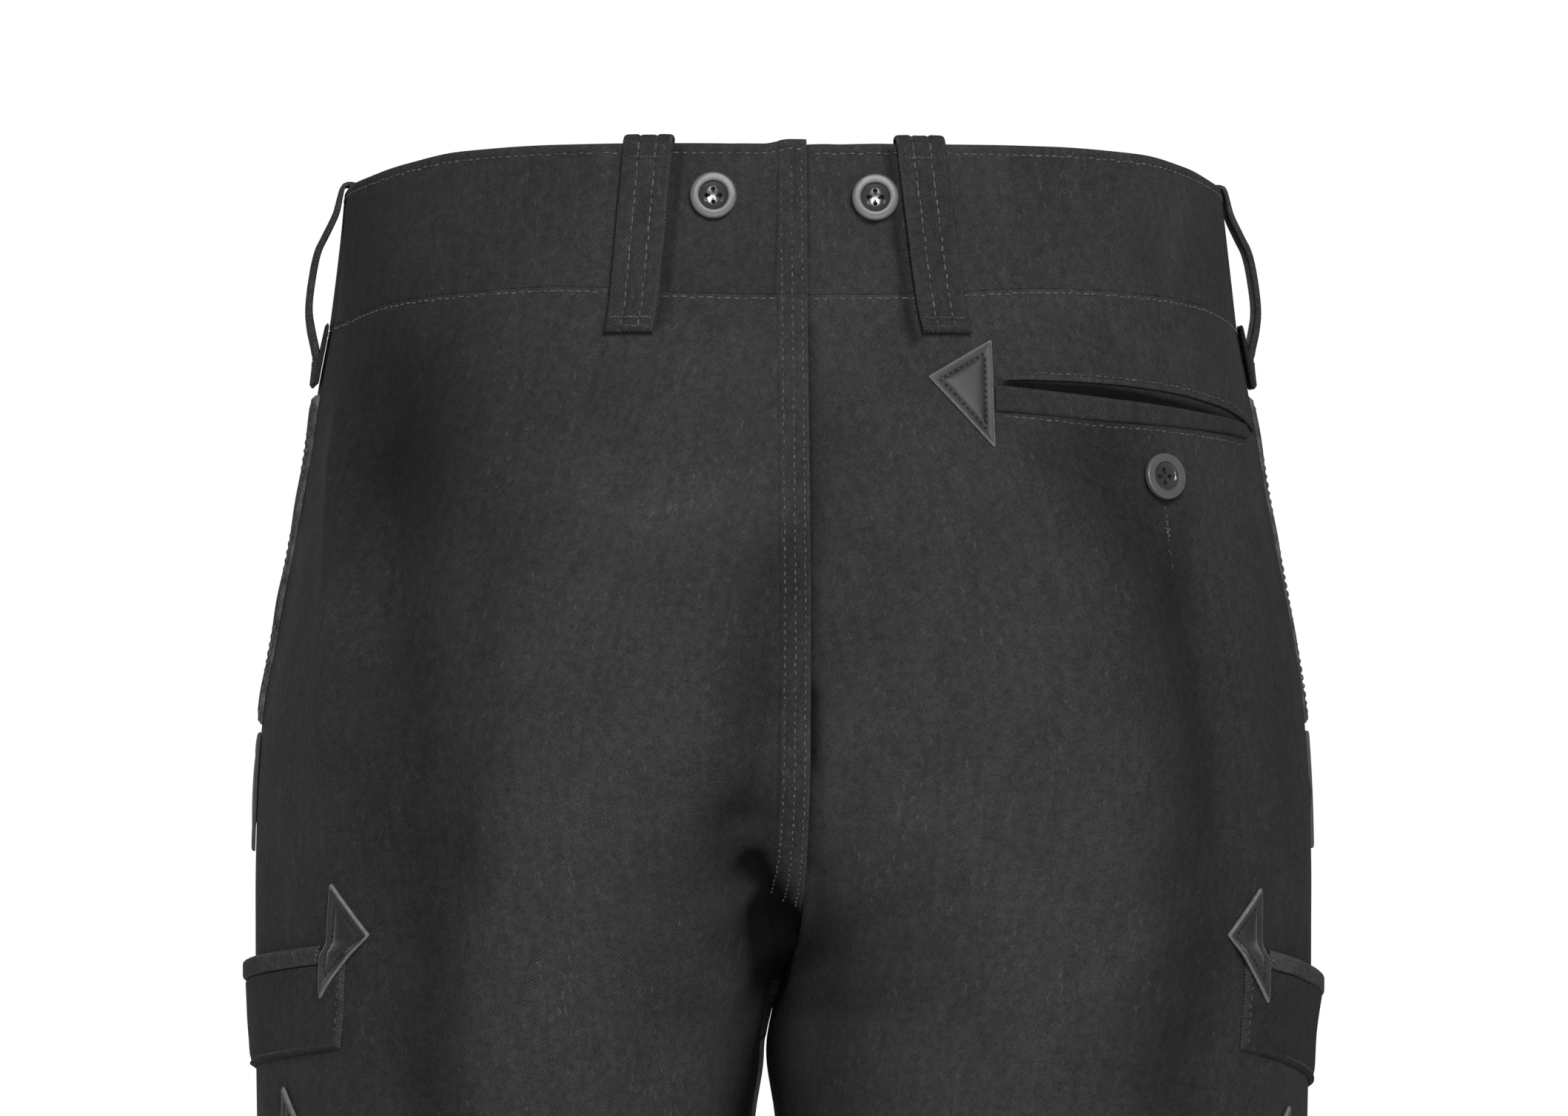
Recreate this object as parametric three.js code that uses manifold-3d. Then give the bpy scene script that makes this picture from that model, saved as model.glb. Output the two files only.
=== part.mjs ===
// Carpenter's work trousers, filled out and hollow as they are when worn.
// Millimetres. +Z is up, -Y is the front, +X is the wearer's left.
// The origin is the middle of the waist opening, level with its top edge at the centre back.
// A station says how far round one half of the garment a place is: 0 is the side seam, 90 the
// fullest line of the back, 180 the centre seam or inseam, and the front's are negative.
// A height is a z. A lift is a distance out of the cloth.

import * as THREE from 'three';
import { mergeVertices } from 'three/addons/utils/BufferGeometryUtils.js';
import Module from 'manifold-3d';

// ---- Driving dimensions ----

const CLOTH = 1.8;          // wall of one heavy twill panel
const BAND_CLOTH = 3.0;     // wall of the waistband, which is two plies and a stay
const HEM_CLOTH = 3.2;      // wall of the turned-up hem
const HEM_HEIGHT = 24;
const SEAM_GAP = 0.3;       // two sewn pieces lie this far apart
const SEAM_SAG = 0.5;       // and this much more where their shared edge curves
const SEAT = 0.8;           // a piece on a panel starts this far out of the panel's true surface
const LEATHER = 1.2;
const FELL_WIDTH = 11;      // flat-felled centre-back seam, the left side laps over the right
const FELL_RISE = 1.2;
const FLY_WIDTH = 38;       // faced edge of the left front
const FLY_RISE = 1.0;
const FLY_END = -213;
const STEP = 0.6;           // width of the small step beside a raised edge
const CURVE_TOP = -160;     // height where the two halves begin to part into legs
const FORK = -304;          // height of the crotch point
const HEM = -1124;
const CURVE_POWER = 2.5;
const SHARE_LEAST = 0.05;
const LAP_LENGTH = 36;      // waistband's left end past the centre front
const LAP_RISE = 3.6;       // it lies this far out, over the right end
const BUTTON_RADIUS = 8.5;
const LOOP_WIDTH = 18;

// Outer shape of the cloth by height: half of the whole width, how far from the middle plane the
// back and the front of a half are fullest, and the depths behind and in front of the side seam.
const BODY = [
  { z: 20, width: 162.5, middle: 28, back: 114, front: 110 },
  { z: 0, width: 163.6, middle: 30, back: 116, front: 112 },
  { z: -60, width: 170, middle: 36, back: 122, front: 116 },
  { z: -85, width: 174.5, middle: 42, back: 126, front: 118 },
  { z: -130, width: 181.5, middle: 54, back: 133, front: 120 },
  { z: -170, width: 189, middle: 65, back: 137, front: 120 },
  { z: -210, width: 195.5, middle: 77, back: 137, front: 118 },
  { z: -245, width: 197.5, middle: 88, back: 131, front: 113 },
  { z: -275, width: 198, middle: 95.5, back: 123, front: 108 },
  { z: -304, width: 198, middle: 99, back: 114, front: 103 },
  { z: -360, width: 197.5, middle: 100.5, back: 104, front: 99 },
  { z: -450, width: 194, middle: 103, back: 92, front: 92 },
  { z: -600, width: 186, middle: 105, back: 82, front: 78 },
  { z: -750, width: 182, middle: 106, back: 78, front: 74 },
  { z: -900, width: 184, middle: 109, back: 77, front: 74 },
  { z: -1124, width: 190, middle: 114, back: 78, front: 75 },
];

// Below the fork: how far each leg's inner side stands from the plane between the legs, and
// how far that plane leans towards the wearer's left.
const BETWEEN = [
  { z: -290, clear: 0.15, lean: 0 },
  { z: -304, clear: 0.15, lean: 1.5 },
  { z: -335, clear: 0.4, lean: 7 },
  { z: -358, clear: 3.6, lean: 7 },
  { z: -450, clear: 12, lean: 6 },
  { z: -600, clear: 24, lean: 3 },
  { z: -750, clear: 30, lean: 0 },
  { z: -900, clear: 34, lean: 0 },
  { z: -1124, clear: 38, lean: 0 },
];

// Top edge of the waistband and the seam under it, by station.
const WAIST = [
  { station: 180, top: 0, seam: -54.5 },
  { station: 90, top: 0.3, seam: -54 },
  { station: 65, top: 0.3, seam: -51.5 },
  { station: 45, top: -1.2, seam: -53.5 },
  { station: 32, top: -4.5, seam: -56 },
  { station: 15, top: -9.5, seam: -61.5 },
  { station: 0, top: -12, seam: -64 },
  { station: -45, top: -18, seam: -70 },
  { station: -90, top: -21, seam: -74 },
  { station: -180, top: -21, seam: -74 },
];

// Largest folds: a soft trough (negative depth) or ridge along a line from one place to another.
// side 1 is the wearer's left leg and -1 the right.
const FOLDS = [
  // seat and back of the thighs
  { side: 1, station0: 61, z0: -150, station1: 69, z1: -258, width: 16, depth: -5 },
  { side: 1, station0: 26, z0: -110, station1: 39, z1: -212, width: 11, depth: 3 },
  { side: 1, station0: 74, z0: -188, station1: 81, z1: -262, width: 15, depth: 3 },
  { side: 1, station0: 164, z0: -206, station1: 157, z1: -242, width: 10, depth: -5 },
  { side: 1, station0: 157, z0: -250, station1: 166, z1: -290, width: 13, depth: -11 },
  { side: -1, station0: 49, z0: -160, station1: 52, z1: -238, width: 16, depth: -5 },
  { side: -1, station0: 21, z0: -236, station1: 32, z1: -278, width: 9, depth: 3 },
  { side: -1, station0: 87, z0: -204, station1: 135, z1: -230, width: 12, depth: -2 },
  // front of the hips, creases running from the fork to the sides
  { side: 1, station0: -118, z0: -285, station1: -70, z1: -235, width: 13, depth: -5 },
  { side: -1, station0: -120, z0: -283, station1: -64, z1: -228, width: 14, depth: -5 },
  { side: 1, station0: -104, z0: -322, station1: -58, z1: -300, width: 12, depth: -3 },
  { side: -1, station0: -100, z0: -330, station1: -50, z1: -306, width: 13, depth: -3 },
  // knees, front and back
  { side: 1, station0: -125, z0: -585, station1: -40, z1: -560, width: 16, depth: -4 },
  { side: -1, station0: -120, z0: -575, station1: -50, z1: -592, width: 15, depth: -4 },
  { side: 1, station0: 55, z0: -610, station1: 140, z1: -640, width: 17, depth: -6 },
  { side: -1, station0: 60, z0: -642, station1: 135, z1: -612, width: 16, depth: -6 },
  { side: 1, station0: 80, z0: -690, station1: 150, z1: -725, width: 16, depth: -4 },
  { side: -1, station0: 75, z0: -712, station1: 145, z1: -700, width: 17, depth: -4 },
  // break of the lower legs
  { side: 1, station0: -140, z0: -985, station1: -40, z1: -1012, width: 18, depth: -6 },
  { side: -1, station0: -135, z0: -1008, station1: -50, z1: -986, width: 17, depth: -6 },
  { side: 1, station0: 50, z0: -960, station1: 130, z1: -985, width: 18, depth: -4 },
  { side: -1, station0: 55, z0: -975, station1: 125, z1: -950, width: 18, depth: -4 },
];
const FOLD_PIECES = 6;      // a fold's line follows the body in this many straight pieces

// Back belt loops, side belt loops and front belt loops: where each is sewn on.
const LOOPS = [
  { name: 'belt_loop_back_left', side: 1, shape: 'close', station0: 78.4, station1: 78.6 },
  { name: 'belt_loop_back_right', side: -1, shape: 'close', station0: 85.2, station1: 84.7 },
  { name: 'belt_loop_side_left', side: 1, shape: 'bulged', station0: 1, station1: 1 },
  { name: 'belt_loop_side_right', side: -1, shape: 'bulged', station0: 1, station1: 1 },
  { name: 'belt_loop_front_left', side: 1, shape: 'close', station0: -57, station1: -57 },
  { name: 'belt_loop_front_right', side: -1, shape: 'close', station0: -57, station1: -57 },
];

// A loop's middle line from inside the band, over the top edge and down: its lift out of the
// band, its drop below the top edge and its thickness.
const LOOP_OVER_EDGE = [
  { lift: -5.2, drop: 10, thick: 1.6 },
  { lift: -5.2, drop: 2, thick: 1.6 },
  { lift: -4.8, drop: -1.3, thick: 1.6 },
  { lift: -3.1, drop: -2.2, thick: 1.6 },
  { lift: -0.4, drop: -2.1, thick: 1.6 },
  { lift: 1.0, drop: -0.9, thick: 1.6 },
];
const LOOP_SHAPES = {
  close: [
    { lift: 1.5, drop: 2, thick: 1.6 },
    { lift: 1.6, drop: 15, thick: 1.6 },
    { lift: 2.7, drop: 24, thick: 1.6 },
    { lift: 3.0, drop: 36, thick: 1.6 },
    { lift: 2.7, drop: 48, thick: 1.6 },
    { lift: 1.9, drop: 57, thick: 2.0 },
    { lift: 1.9, drop: 69, thick: 2.0 },
  ],
  bulged: [
    { lift: 1.7, drop: 3, thick: 1.8 },
    { lift: 2.6, drop: 9, thick: 2.2 },
    { lift: 5.4, drop: 17, thick: 2.4 },
    { lift: 7.8, drop: 24, thick: 2.4 },
    { lift: 8.7, drop: 34, thick: 2.4 },
    { lift: 8.5, drop: 45, thick: 2.4 },
    { lift: 6.6, drop: 53, thick: 2.8 },
    { lift: 3.4, drop: 61, thick: 2.8 },
    { lift: 2.4, drop: 66, thick: 2.6 },
    { lift: 2.0, drop: 74, thick: 2.2 },
  ],
};

// Brace buttons, the back pocket's button and the one that closes the waist. past is how far
// beyond its station a button sits, on the band's lapped end.
const BUTTONS = [
  { name: 'brace_button_back_left', side: 1, station: 89.1, z: -19, lift: 0.5, past: 0 },
  { name: 'brace_button_back_right', side: -1, station: 110.8, z: -19.6, lift: 0.5, past: 0 },
  { name: 'brace_button_front_outer_left', side: 1, station: -44, z: -37, lift: 0.5, past: 0 },
  { name: 'brace_button_front_outer_right', side: -1, station: -44, z: -37, lift: 0.5, past: 0 },
  { name: 'brace_button_front_inner_left', side: 1, station: -72, z: -40, lift: 0.5, past: 0 },
  { name: 'brace_button_front_inner_right', side: -1, station: -72, z: -40, lift: 0.5, past: 0 },
  { name: 'back_pocket_button', side: -1, station: 52.1, z: -119.7, lift: 0.6, past: 0 },
  { name: 'waist_button', side: 1, station: -180, z: -47, lift: LAP_RISE + 0.5, past: 18 },
];

// Half outline of a button turned about its axis: a rounded rim round a sunk dish.
const BUTTON_PROFILE = [
  { radius: 0, height: 0 },
  { radius: 7.7, height: 0 },
  { radius: BUTTON_RADIUS, height: 0.9 },
  { radius: BUTTON_RADIUS, height: 2.3 },
  { radius: 7.8, height: 3.1 },
  { radius: 5.8, height: 3.2 },
  { radius: 5.1, height: 2.7 },
  { radius: 0, height: 1.8 },
];
const BUTTON_SIDES = 14;
const BUTTON_HOLE = { radius: 1.2, out: 2.4, sides: 5, count: 4 };

// Ruler pockets on the outer thighs, two to a leg. The mouth's ends are given at the back and
// at the front of the pocket, and the pocket hangs straight down from its mouth.
const POCKETS = [
  { name: 'upper_left', side: 1, back: 48.4, front: -20, z_back: -295, z_front: -312, height: 32 },
  { name: 'upper_right', side: -1, back: 49.3, front: -19, z_back: -297, z_front: -324, height: 32 },
  { name: 'lower_left', side: 1, back: 33, front: -35.5, z_back: -371, z_front: -388, height: 165 },
  { name: 'lower_right', side: -1, back: 36, front: -32, z_back: -379, z_front: -406, height: 165 },
];
const POCKET_STATION = 1.75;  // millimetres of cloth in one station at the pockets
const POCKET_CLOTH = 1.6;
const POCKET_GAPE = 1.9;    // how far the mouth's middle stands off the leg
const STRIP_HEIGHT = 7;     // ribbed strip along the mouth
const STRIP_CLOTH = 2.2;
const STRIP_INSET = 0.1;    // the strip stops short of the leather by this part of the width
const COVER_CLEAR = 0.5;    // the leather's corner lies this far out of the pocket's cloth
const COVER_START = 3;      // and comes down to the leg between these distances from it
const COVER_END = 9;

// Leather corner of a ruler pocket, from the pocket's top back corner: stations towards the
// back and height above the mouth.
const CORNER = {
  top: { station: -5, rise: 30 },
  tip: { station: 5, rise: 8.5 },
  bottom: { station: -5.2, rise: -13.3 },
};

// Pieces with three or four corners that lie on a panel: station and z of each corner.
const BACK_WELT = {
  name: 'back_pocket_welt',
  side: -1,
  corners: [[77.8, -86.8], [22, -99.5], [22, -105], [78.9, -96.5]],
};
const BACK_TRIANGLE = {
  name: 'back_pocket_triangle',
  side: -1,
  corners: [[77.9, -70.5], [89.5, -84], [82, -110.2]],
};
const FRONT_WELT = [[8, -88.5], [-3, -88.5], [-3, -211], [5, -211]];
const FRONT_TRIANGLE = [[5, -213.5], [-15, -236], [4, -258.5]];
const TIP_BLUNT = 0.06;     // a leather tip is cut blunt by this part of its sides

// Heights of the rows of a panel below its waist seam.
const PANEL_ROWS = [
  -90, -118, -145, -170, -192, -212, -214.5, -236, -254, -268, -279, -288, -295, -300, -303,
  -304.6, -310, -322, -338, -358, -388, -430, -490, -555, -595, -635, -690, -740, -830, -930,
  -985, -1040, -1099.4, -1100.6, -1124,
];
const PANEL_COLUMNS = { outer: 7, inner: 4 };
const BAND_ROWS = 3;
const BAND_COLUMNS = 20;

const COLOURS = {
  cloth: { color: 0x2e2e30, roughness: 0.92, metalness: 0 },
  leather: { color: 0x3a3a3b, roughness: 0.45, metalness: 0 },
  button: { color: 0x5c5c5e, roughness: 0.28, metalness: 0 },
};

// ---- Reading the tables ----

// Smooth value of a column between the rows of a table whose key falls from row to row.
function lookup(table, key, at, column) {
  const last = table.length - 1;
  if (at >= table[0][key]) return table[0][column];
  if (at <= table[last][key]) return table[last][column];
  let i = 0;
  while (at < table[i + 1][key]) i += 1;
  const slope = (k) => (table[k + 1][column] - table[k][column]) / (table[k + 1][key] - table[k][key]);
  const tangent = (k) => {
    if (k === 0 || k === last) return slope(Math.min(k, last - 1));
    const before = slope(k - 1);
    const after = slope(k);
    return before * after <= 0 ? 0 : (2 * before * after) / (before + after);
  };
  const span = table[i + 1][key] - table[i][key];
  const t = (at - table[i][key]) / span;
  const rest = 1 - t;
  return (1 + 2 * t) * rest * rest * table[i][column] + t * rest * rest * span * tangent(i)
    + t * t * (3 - 2 * t) * table[i + 1][column] - t * t * rest * span * tangent(i + 1);
}

function smoothstep(low, high, value) {
  return THREE.MathUtils.smoothstep(value, low, high);
}

function range(count) {
  return Array.from({ length: count + 1 }, (_, i) => i / count);
}

const waistTop = (station) => lookup(WAIST, 'station', station, 'top');
const waistSeam = (station) => lookup(WAIST, 'station', station, 'seam');

// ---- The garment's outer surface ----

// One half's section at a height. It is a quarter round from the side seam to the fullest line,
// and an arc on from there: down to the fork that arc stops at the middle plane, and lower it
// is a quarter round too, so that it closes a leg.
function section(side, z) {
  const lean = lookup(BETWEEN, 'z', z, 'lean');
  const width = lookup(BODY, 'z', z, 'width') - side * lean;
  const middle = lookup(BODY, 'z', z, 'middle');
  const shape = {
    lean,
    middle,
    outer: width - middle,
    back: lookup(BODY, 'z', z, 'back'),
    front: lookup(BODY, 'z', z, 'front'),
  };
  if (z > FORK) {
    const down = THREE.MathUtils.clamp((CURVE_TOP - z) / (CURVE_TOP - FORK), 0, 1);
    const share = Math.max(down ** CURVE_POWER, SHARE_LEAST);
    shape.inner = middle / share;
    shape.turn = Math.asin(share);
  } else {
    shape.inner = middle - lookup(BETWEEN, 'z', z, 'clear');
    shape.turn = Math.PI / 2;
  }
  return shape;
}

function bodyPoint(side, station, z) {
  const s = section(side, z);
  const facing = station < 0 ? -1 : 1;
  const depth = facing > 0 ? s.back : s.front;
  const quarter = Math.abs(station) / 90;
  let across = s.middle;
  let deep = depth;
  if (quarter <= 1) {
    across += s.outer * Math.cos((quarter * Math.PI) / 2);
    deep *= Math.sin((quarter * Math.PI) / 2);
  } else {
    across -= s.inner * Math.sin((quarter - 1) * s.turn);
    deep *= Math.cos((quarter - 1) * s.turn);
  }
  return new THREE.Vector3(s.lean + side * across, facing * deep, z);
}

function bodyNormal(side, station, z) {
  const round = bodyPoint(side, station + 0.1, z).sub(bodyPoint(side, station - 0.1, z));
  const up = bodyPoint(side, station, z + 0.5).sub(bodyPoint(side, station, z - 0.5));
  return round.cross(up).normalize().multiplyScalar(side);
}

// Each fold's line on the body, as short straight pieces.
const foldLines = FOLDS.map((fold) => {
  const points = range(FOLD_PIECES).map((share) => bodyPoint(
    fold.side,
    THREE.MathUtils.lerp(fold.station0, fold.station1, share),
    THREE.MathUtils.lerp(fold.z0, fold.z1, share),
  ));
  return points.slice(1).map((point, i) => new THREE.Line3(points[i], point));
});

// Height of the folds over the plain shape.
function foldHeight(side, station, z) {
  const here = bodyPoint(side, station, z);
  const nearest = new THREE.Vector3();
  let height = 0;
  FOLDS.forEach((fold, i) => {
    if (fold.side !== side || fold.station0 * station < 0) return;
    const distances = foldLines[i].map((line) => (
      line.closestPointToPoint(here, true, nearest).distanceTo(here)));
    height += fold.depth * Math.exp(-((Math.min(...distances) / fold.width) ** 2));
  });
  return height;
}

// A place on the cloth, moved out of it by a lift.
function clothPoint(side, station, z, lift) {
  const out = foldHeight(side, station, z) + lift;
  return bodyPoint(side, station, z).addScaledVector(bodyNormal(side, station, z), out);
}

// The station that lies a distance along the cloth from a half's centre seam or inseam.
function stationFromSeam(side, facing, z, distance) {
  const step = 0.5;
  let station = 180;
  let walked = 0;
  let here = bodyPoint(side, facing * station, z);
  while (walked < distance) {
    station -= step;
    const next = bodyPoint(side, facing * station, z);
    walked += next.distanceTo(here);
    here = next;
  }
  return station;
}

// ---- Making closed solids ----

// A closed wall between two grids of points that have the same rows and columns.
function wall(outer, inner) {
  const rows = outer.length;
  const columns = outer[0].length;
  const points = [...outer.flat(), ...inner.flat()];
  const at = (layer, row, column) => (layer * rows + row) * columns + column;
  const index = [];
  const quad = (a, b, c, d) => index.push(a, b, c, a, c, d);
  for (let r = 0; r < rows - 1; r += 1) {
    for (let c = 0; c < columns - 1; c += 1) {
      quad(at(0, r, c), at(0, r + 1, c), at(0, r + 1, c + 1), at(0, r, c + 1));
      quad(at(1, r, c), at(1, r, c + 1), at(1, r + 1, c + 1), at(1, r + 1, c));
    }
    quad(at(0, r, 0), at(1, r, 0), at(1, r + 1, 0), at(0, r + 1, 0));
    const end = columns - 1;
    quad(at(0, r, end), at(0, r + 1, end), at(1, r + 1, end), at(1, r, end));
  }
  for (let c = 0; c < columns - 1; c += 1) {
    quad(at(0, 0, c), at(0, 0, c + 1), at(1, 0, c + 1), at(1, 0, c));
    const end = rows - 1;
    quad(at(0, end, c), at(1, end, c), at(1, end, c + 1), at(0, end, c + 1));
  }
  if (signedVolume(points, index) < 0) index.reverse();
  const geometry = new THREE.BufferGeometry().setFromPoints(points);
  geometry.setIndex(index);
  geometry.computeVertexNormals();
  return geometry;
}

function signedVolume(points, index) {
  let volume = 0;
  const cross = new THREE.Vector3();
  for (let i = 0; i < index.length; i += 3) {
    cross.crossVectors(points[index[i + 1]], points[index[i + 2]]);
    volume += points[index[i]].dot(cross) / 6;
  }
  return volume;
}

const group = new THREE.Group();
const materials = Object.fromEntries(
  Object.entries(COLOURS).map(([name, look]) => [name, new THREE.MeshStandardMaterial(look)]),
);

function add(name, geometry, slot) {
  const mesh = new THREE.Mesh(geometry, materials[slot]);
  mesh.name = name;
  group.add(mesh);
  return mesh;
}

// ---- Panels of the seat and legs ----

// Keeps a point on its own side of the plane between the halves and of the side seam's plane.
function keepOwnSide(point, side, facing, lean) {
  const clear = SEAM_GAP / 2;
  point.x = lean + side * Math.max(side * (point.x - lean), clear);
  point.y = facing * Math.max(facing * point.y, clear);
  return point;
}

// facing is 1 for a back panel and -1 for a front one. raised says how wide and how thick the
// faced edge along the centre seam is, and how far down it goes.
function panel(name, side, facing, raised) {
  const outer = [];
  const inner = [];
  for (let row = -1; row < PANEL_ROWS.length; row += 1) {
    const level = row < 0 ? PANEL_ROWS[0] : PANEL_ROWS[row];
    const edge = stationFromSeam(side, facing, level, raised.width + STEP);
    const full = Math.min(90, edge - 6 * (PANEL_COLUMNS.inner - 1));
    const stations = range(PANEL_COLUMNS.outer).map((share) => share * full);
    for (const share of range(PANEL_COLUMNS.inner).slice(1)) {
      stations.push(THREE.MathUtils.lerp(full, edge, share));
    }
    stations.push(stationFromSeam(side, facing, level, raised.width), 180);
    const outerRow = [];
    const innerRow = [];
    stations.forEach((bare, column) => {
      const station = facing * bare;
      const z = row < 0 ? waistSeam(station) - SEAM_GAP / 2 - SEAM_SAG : level;
      const rise = column >= stations.length - 2 && z > raised.until ? raised.rise : 0;
      const thick = z < HEM + HEM_HEIGHT ? HEM_CLOTH : CLOTH;
      const { lean } = section(side, z);
      outerRow.push(keepOwnSide(clothPoint(side, station, z, rise), side, facing, lean));
      innerRow.push(keepOwnSide(clothPoint(side, station, z, -thick), side, facing, lean));
    });
    outer.push(outerRow);
    inner.push(innerRow);
  }
  add(name, wall(outer, inner), 'cloth');
}

function panels() {
  const felled = { width: FELL_WIDTH, rise: FELL_RISE, until: -296 };
  const plain = { width: FELL_WIDTH, rise: 0, until: 0 };
  const fly = { width: FLY_WIDTH, rise: FLY_RISE, until: FLY_END };
  const underFly = { width: FLY_WIDTH, rise: 0, until: 0 };
  panel('back_left', 1, 1, felled);
  panel('back_right', -1, 1, plain);
  panel('front_left', 1, -1, fly);
  panel('front_right', -1, -1, underFly);
}

// ---- Waistband ----

// The left half carries the felled seam at the back, and laps over the right half in front.
function waistband(name, side) {
  const level = -30;
  const stations = [180, stationFromSeam(side, 1, level, FELL_WIDTH)];
  stations.push(stationFromSeam(side, 1, level, FELL_WIDTH + STEP));
  for (const share of range(BAND_COLUMNS)) stations.push(90 - share * 180);
  stations.push(-120, -150, -180);
  if (side > 0) stations.push(...range(3).slice(1).map((share) => -180 - share * LAP_LENGTH));
  const outer = [];
  const inner = [];
  for (const share of range(BAND_ROWS)) {
    const outerRow = [];
    const innerRow = [];
    stations.forEach((station, column) => {
      const past = Math.max(0, -180 - station);
      const on = Math.max(station, -180);
      const z = THREE.MathUtils.lerp(waistTop(on), waistSeam(on) + SEAM_GAP / 2, share);
      const lap = side > 0 ? LAP_RISE * (1 - smoothstep(-150, -75, station)) : 0;
      const rise = side > 0 && column < 2 ? FELL_RISE : 0;
      for (const [line, lift] of [[outerRow, lap + rise], [innerRow, lap - BAND_CLOTH]]) {
        const point = clothPoint(side, on, z, lift);
        point.x = side * Math.max(side * point.x, SEAM_GAP / 2) - side * past;
        line.push(point);
      }
    });
    outer.push(outerRow);
    inner.push(innerRow);
  }
  add(name, wall(outer, inner), 'cloth');
}

// ---- Belt loops ----

// A strap whose middle line runs in the plane of lift and drop, and which is flat across.
function beltLoop(loop) {
  const line = [...LOOP_OVER_EDGE, ...LOOP_SHAPES[loop.shape]];
  const top = waistTop(loop.station0);
  const length = line[line.length - 1].drop;
  const outer = [];
  const inner = [];
  line.forEach((here, i) => {
    const before = line[Math.max(i - 1, 0)];
    const after = line[Math.min(i + 1, line.length - 1)];
    const run = new THREE.Vector2(after.lift - before.lift, after.drop - before.drop).normalize();
    const share = THREE.MathUtils.clamp(here.drop / length, 0, 1);
    const station = THREE.MathUtils.lerp(loop.station0, loop.station1, share);
    const place = (half) => {
      const lift = here.lift + run.y * half;
      const z = top - here.drop + run.x * half;
      const across = bodyPoint(loop.side, station + 1, z).sub(bodyPoint(loop.side, station - 1, z));
      across.setZ(0).normalize();
      const middle = clothPoint(loop.side, station, z, lift);
      return [-0.5, 0.5].map((part) => middle.clone().addScaledVector(across, part * LOOP_WIDTH));
    };
    outer.push(place(here.thick / 2));
    inner.push(place(-here.thick / 2));
  });
  add(loop.name, wall(outer, inner), 'cloth');
}

// ---- Buttons ----

function toManifold(wasm, geometry) {
  const bare = geometry.clone();
  bare.deleteAttribute('normal');
  bare.deleteAttribute('uv');
  const merged = mergeVertices(bare, 1e-3);
  const triVerts = new Uint32Array(merged.index.array);
  const vertProperties = new Float32Array(merged.attributes.position.array);
  return new wasm.Manifold(new wasm.Mesh({ numProp: 3, vertProperties, triVerts }));
}

function fromManifold(solid) {
  const mesh = solid.getMesh();
  const geometry = new THREE.BufferGeometry();
  geometry.setAttribute('position', new THREE.BufferAttribute(mesh.vertProperties, 3));
  geometry.setIndex(new THREE.BufferAttribute(mesh.triVerts, 1));
  geometry.computeVertexNormals();
  return geometry;
}

// A turned button, its axis along +Y, with four sewing holes in a diamond.
function buttonGeometry(wasm) {
  const profile = BUTTON_PROFILE.map((p) => new THREE.Vector2(p.radius, p.height));
  let solid = toManifold(wasm, new THREE.LatheGeometry(profile, BUTTON_SIDES));
  for (let i = 0; i < BUTTON_HOLE.count; i += 1) {
    const hole = new THREE.CylinderGeometry(BUTTON_HOLE.radius, BUTTON_HOLE.radius, 12, BUTTON_HOLE.sides);
    const turn = (i / BUTTON_HOLE.count) * 2 * Math.PI;
    hole.translate(BUTTON_HOLE.out * Math.cos(turn), 0, BUTTON_HOLE.out * Math.sin(turn));
    solid = solid.subtract(toManifold(wasm, hole));
  }
  return fromManifold(solid);
}

function button(row, geometry) {
  const mesh = add(row.name, geometry, 'button');
  const axis = bodyNormal(row.side, row.station, row.z);
  mesh.position.copy(clothPoint(row.side, row.station, row.z, row.lift));
  mesh.position.x -= row.side * row.past;
  const across = new THREE.Vector3(0, 0, 1).cross(axis).normalize();
  const up = new THREE.Vector3().crossVectors(across, axis);
  mesh.quaternion.setFromRotationMatrix(new THREE.Matrix4().makeBasis(across, axis, up));
}

// ---- Pieces that lie on a panel ----

// A piece from a grid of shares (u across, v down): place gives station, z and lift.
function patch(name, side, columns, rows, thick, slot, place) {
  const outer = [];
  const inner = [];
  for (const v of range(rows)) {
    const spots = range(columns).map((u) => place(u, v));
    inner.push(spots.map((spot) => clothPoint(side, spot.station, spot.z, spot.lift)));
    outer.push(spots.map((spot) => clothPoint(side, spot.station, spot.z, spot.lift + thick)));
  }
  add(name, wall(outer, inner), slot);
}

function mix(a, b, share) {
  return [THREE.MathUtils.lerp(a[0], b[0], share), THREE.MathUtils.lerp(a[1], b[1], share)];
}

// A place between four corners that run round the piece from its top back one.
function between(corners, u, v) {
  const [station, z] = mix(mix(corners[0], corners[1], u), mix(corners[3], corners[2], u), v);
  return { station, z, lift: SEAT };
}

// A leather triangle with a straight base and a blunt tip.
function triangle(name, side, corners, liftAt) {
  const [top, tip, bottom] = corners;
  const blunt = [top, mix(tip, top, TIP_BLUNT), mix(tip, bottom, TIP_BLUNT), bottom];
  patch(name, side, 4, 5, LEATHER, 'leather', (u, v) => {
    const spot = between(blunt, u, v);
    return { ...spot, lift: liftAt(spot) };
  });
}

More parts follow.
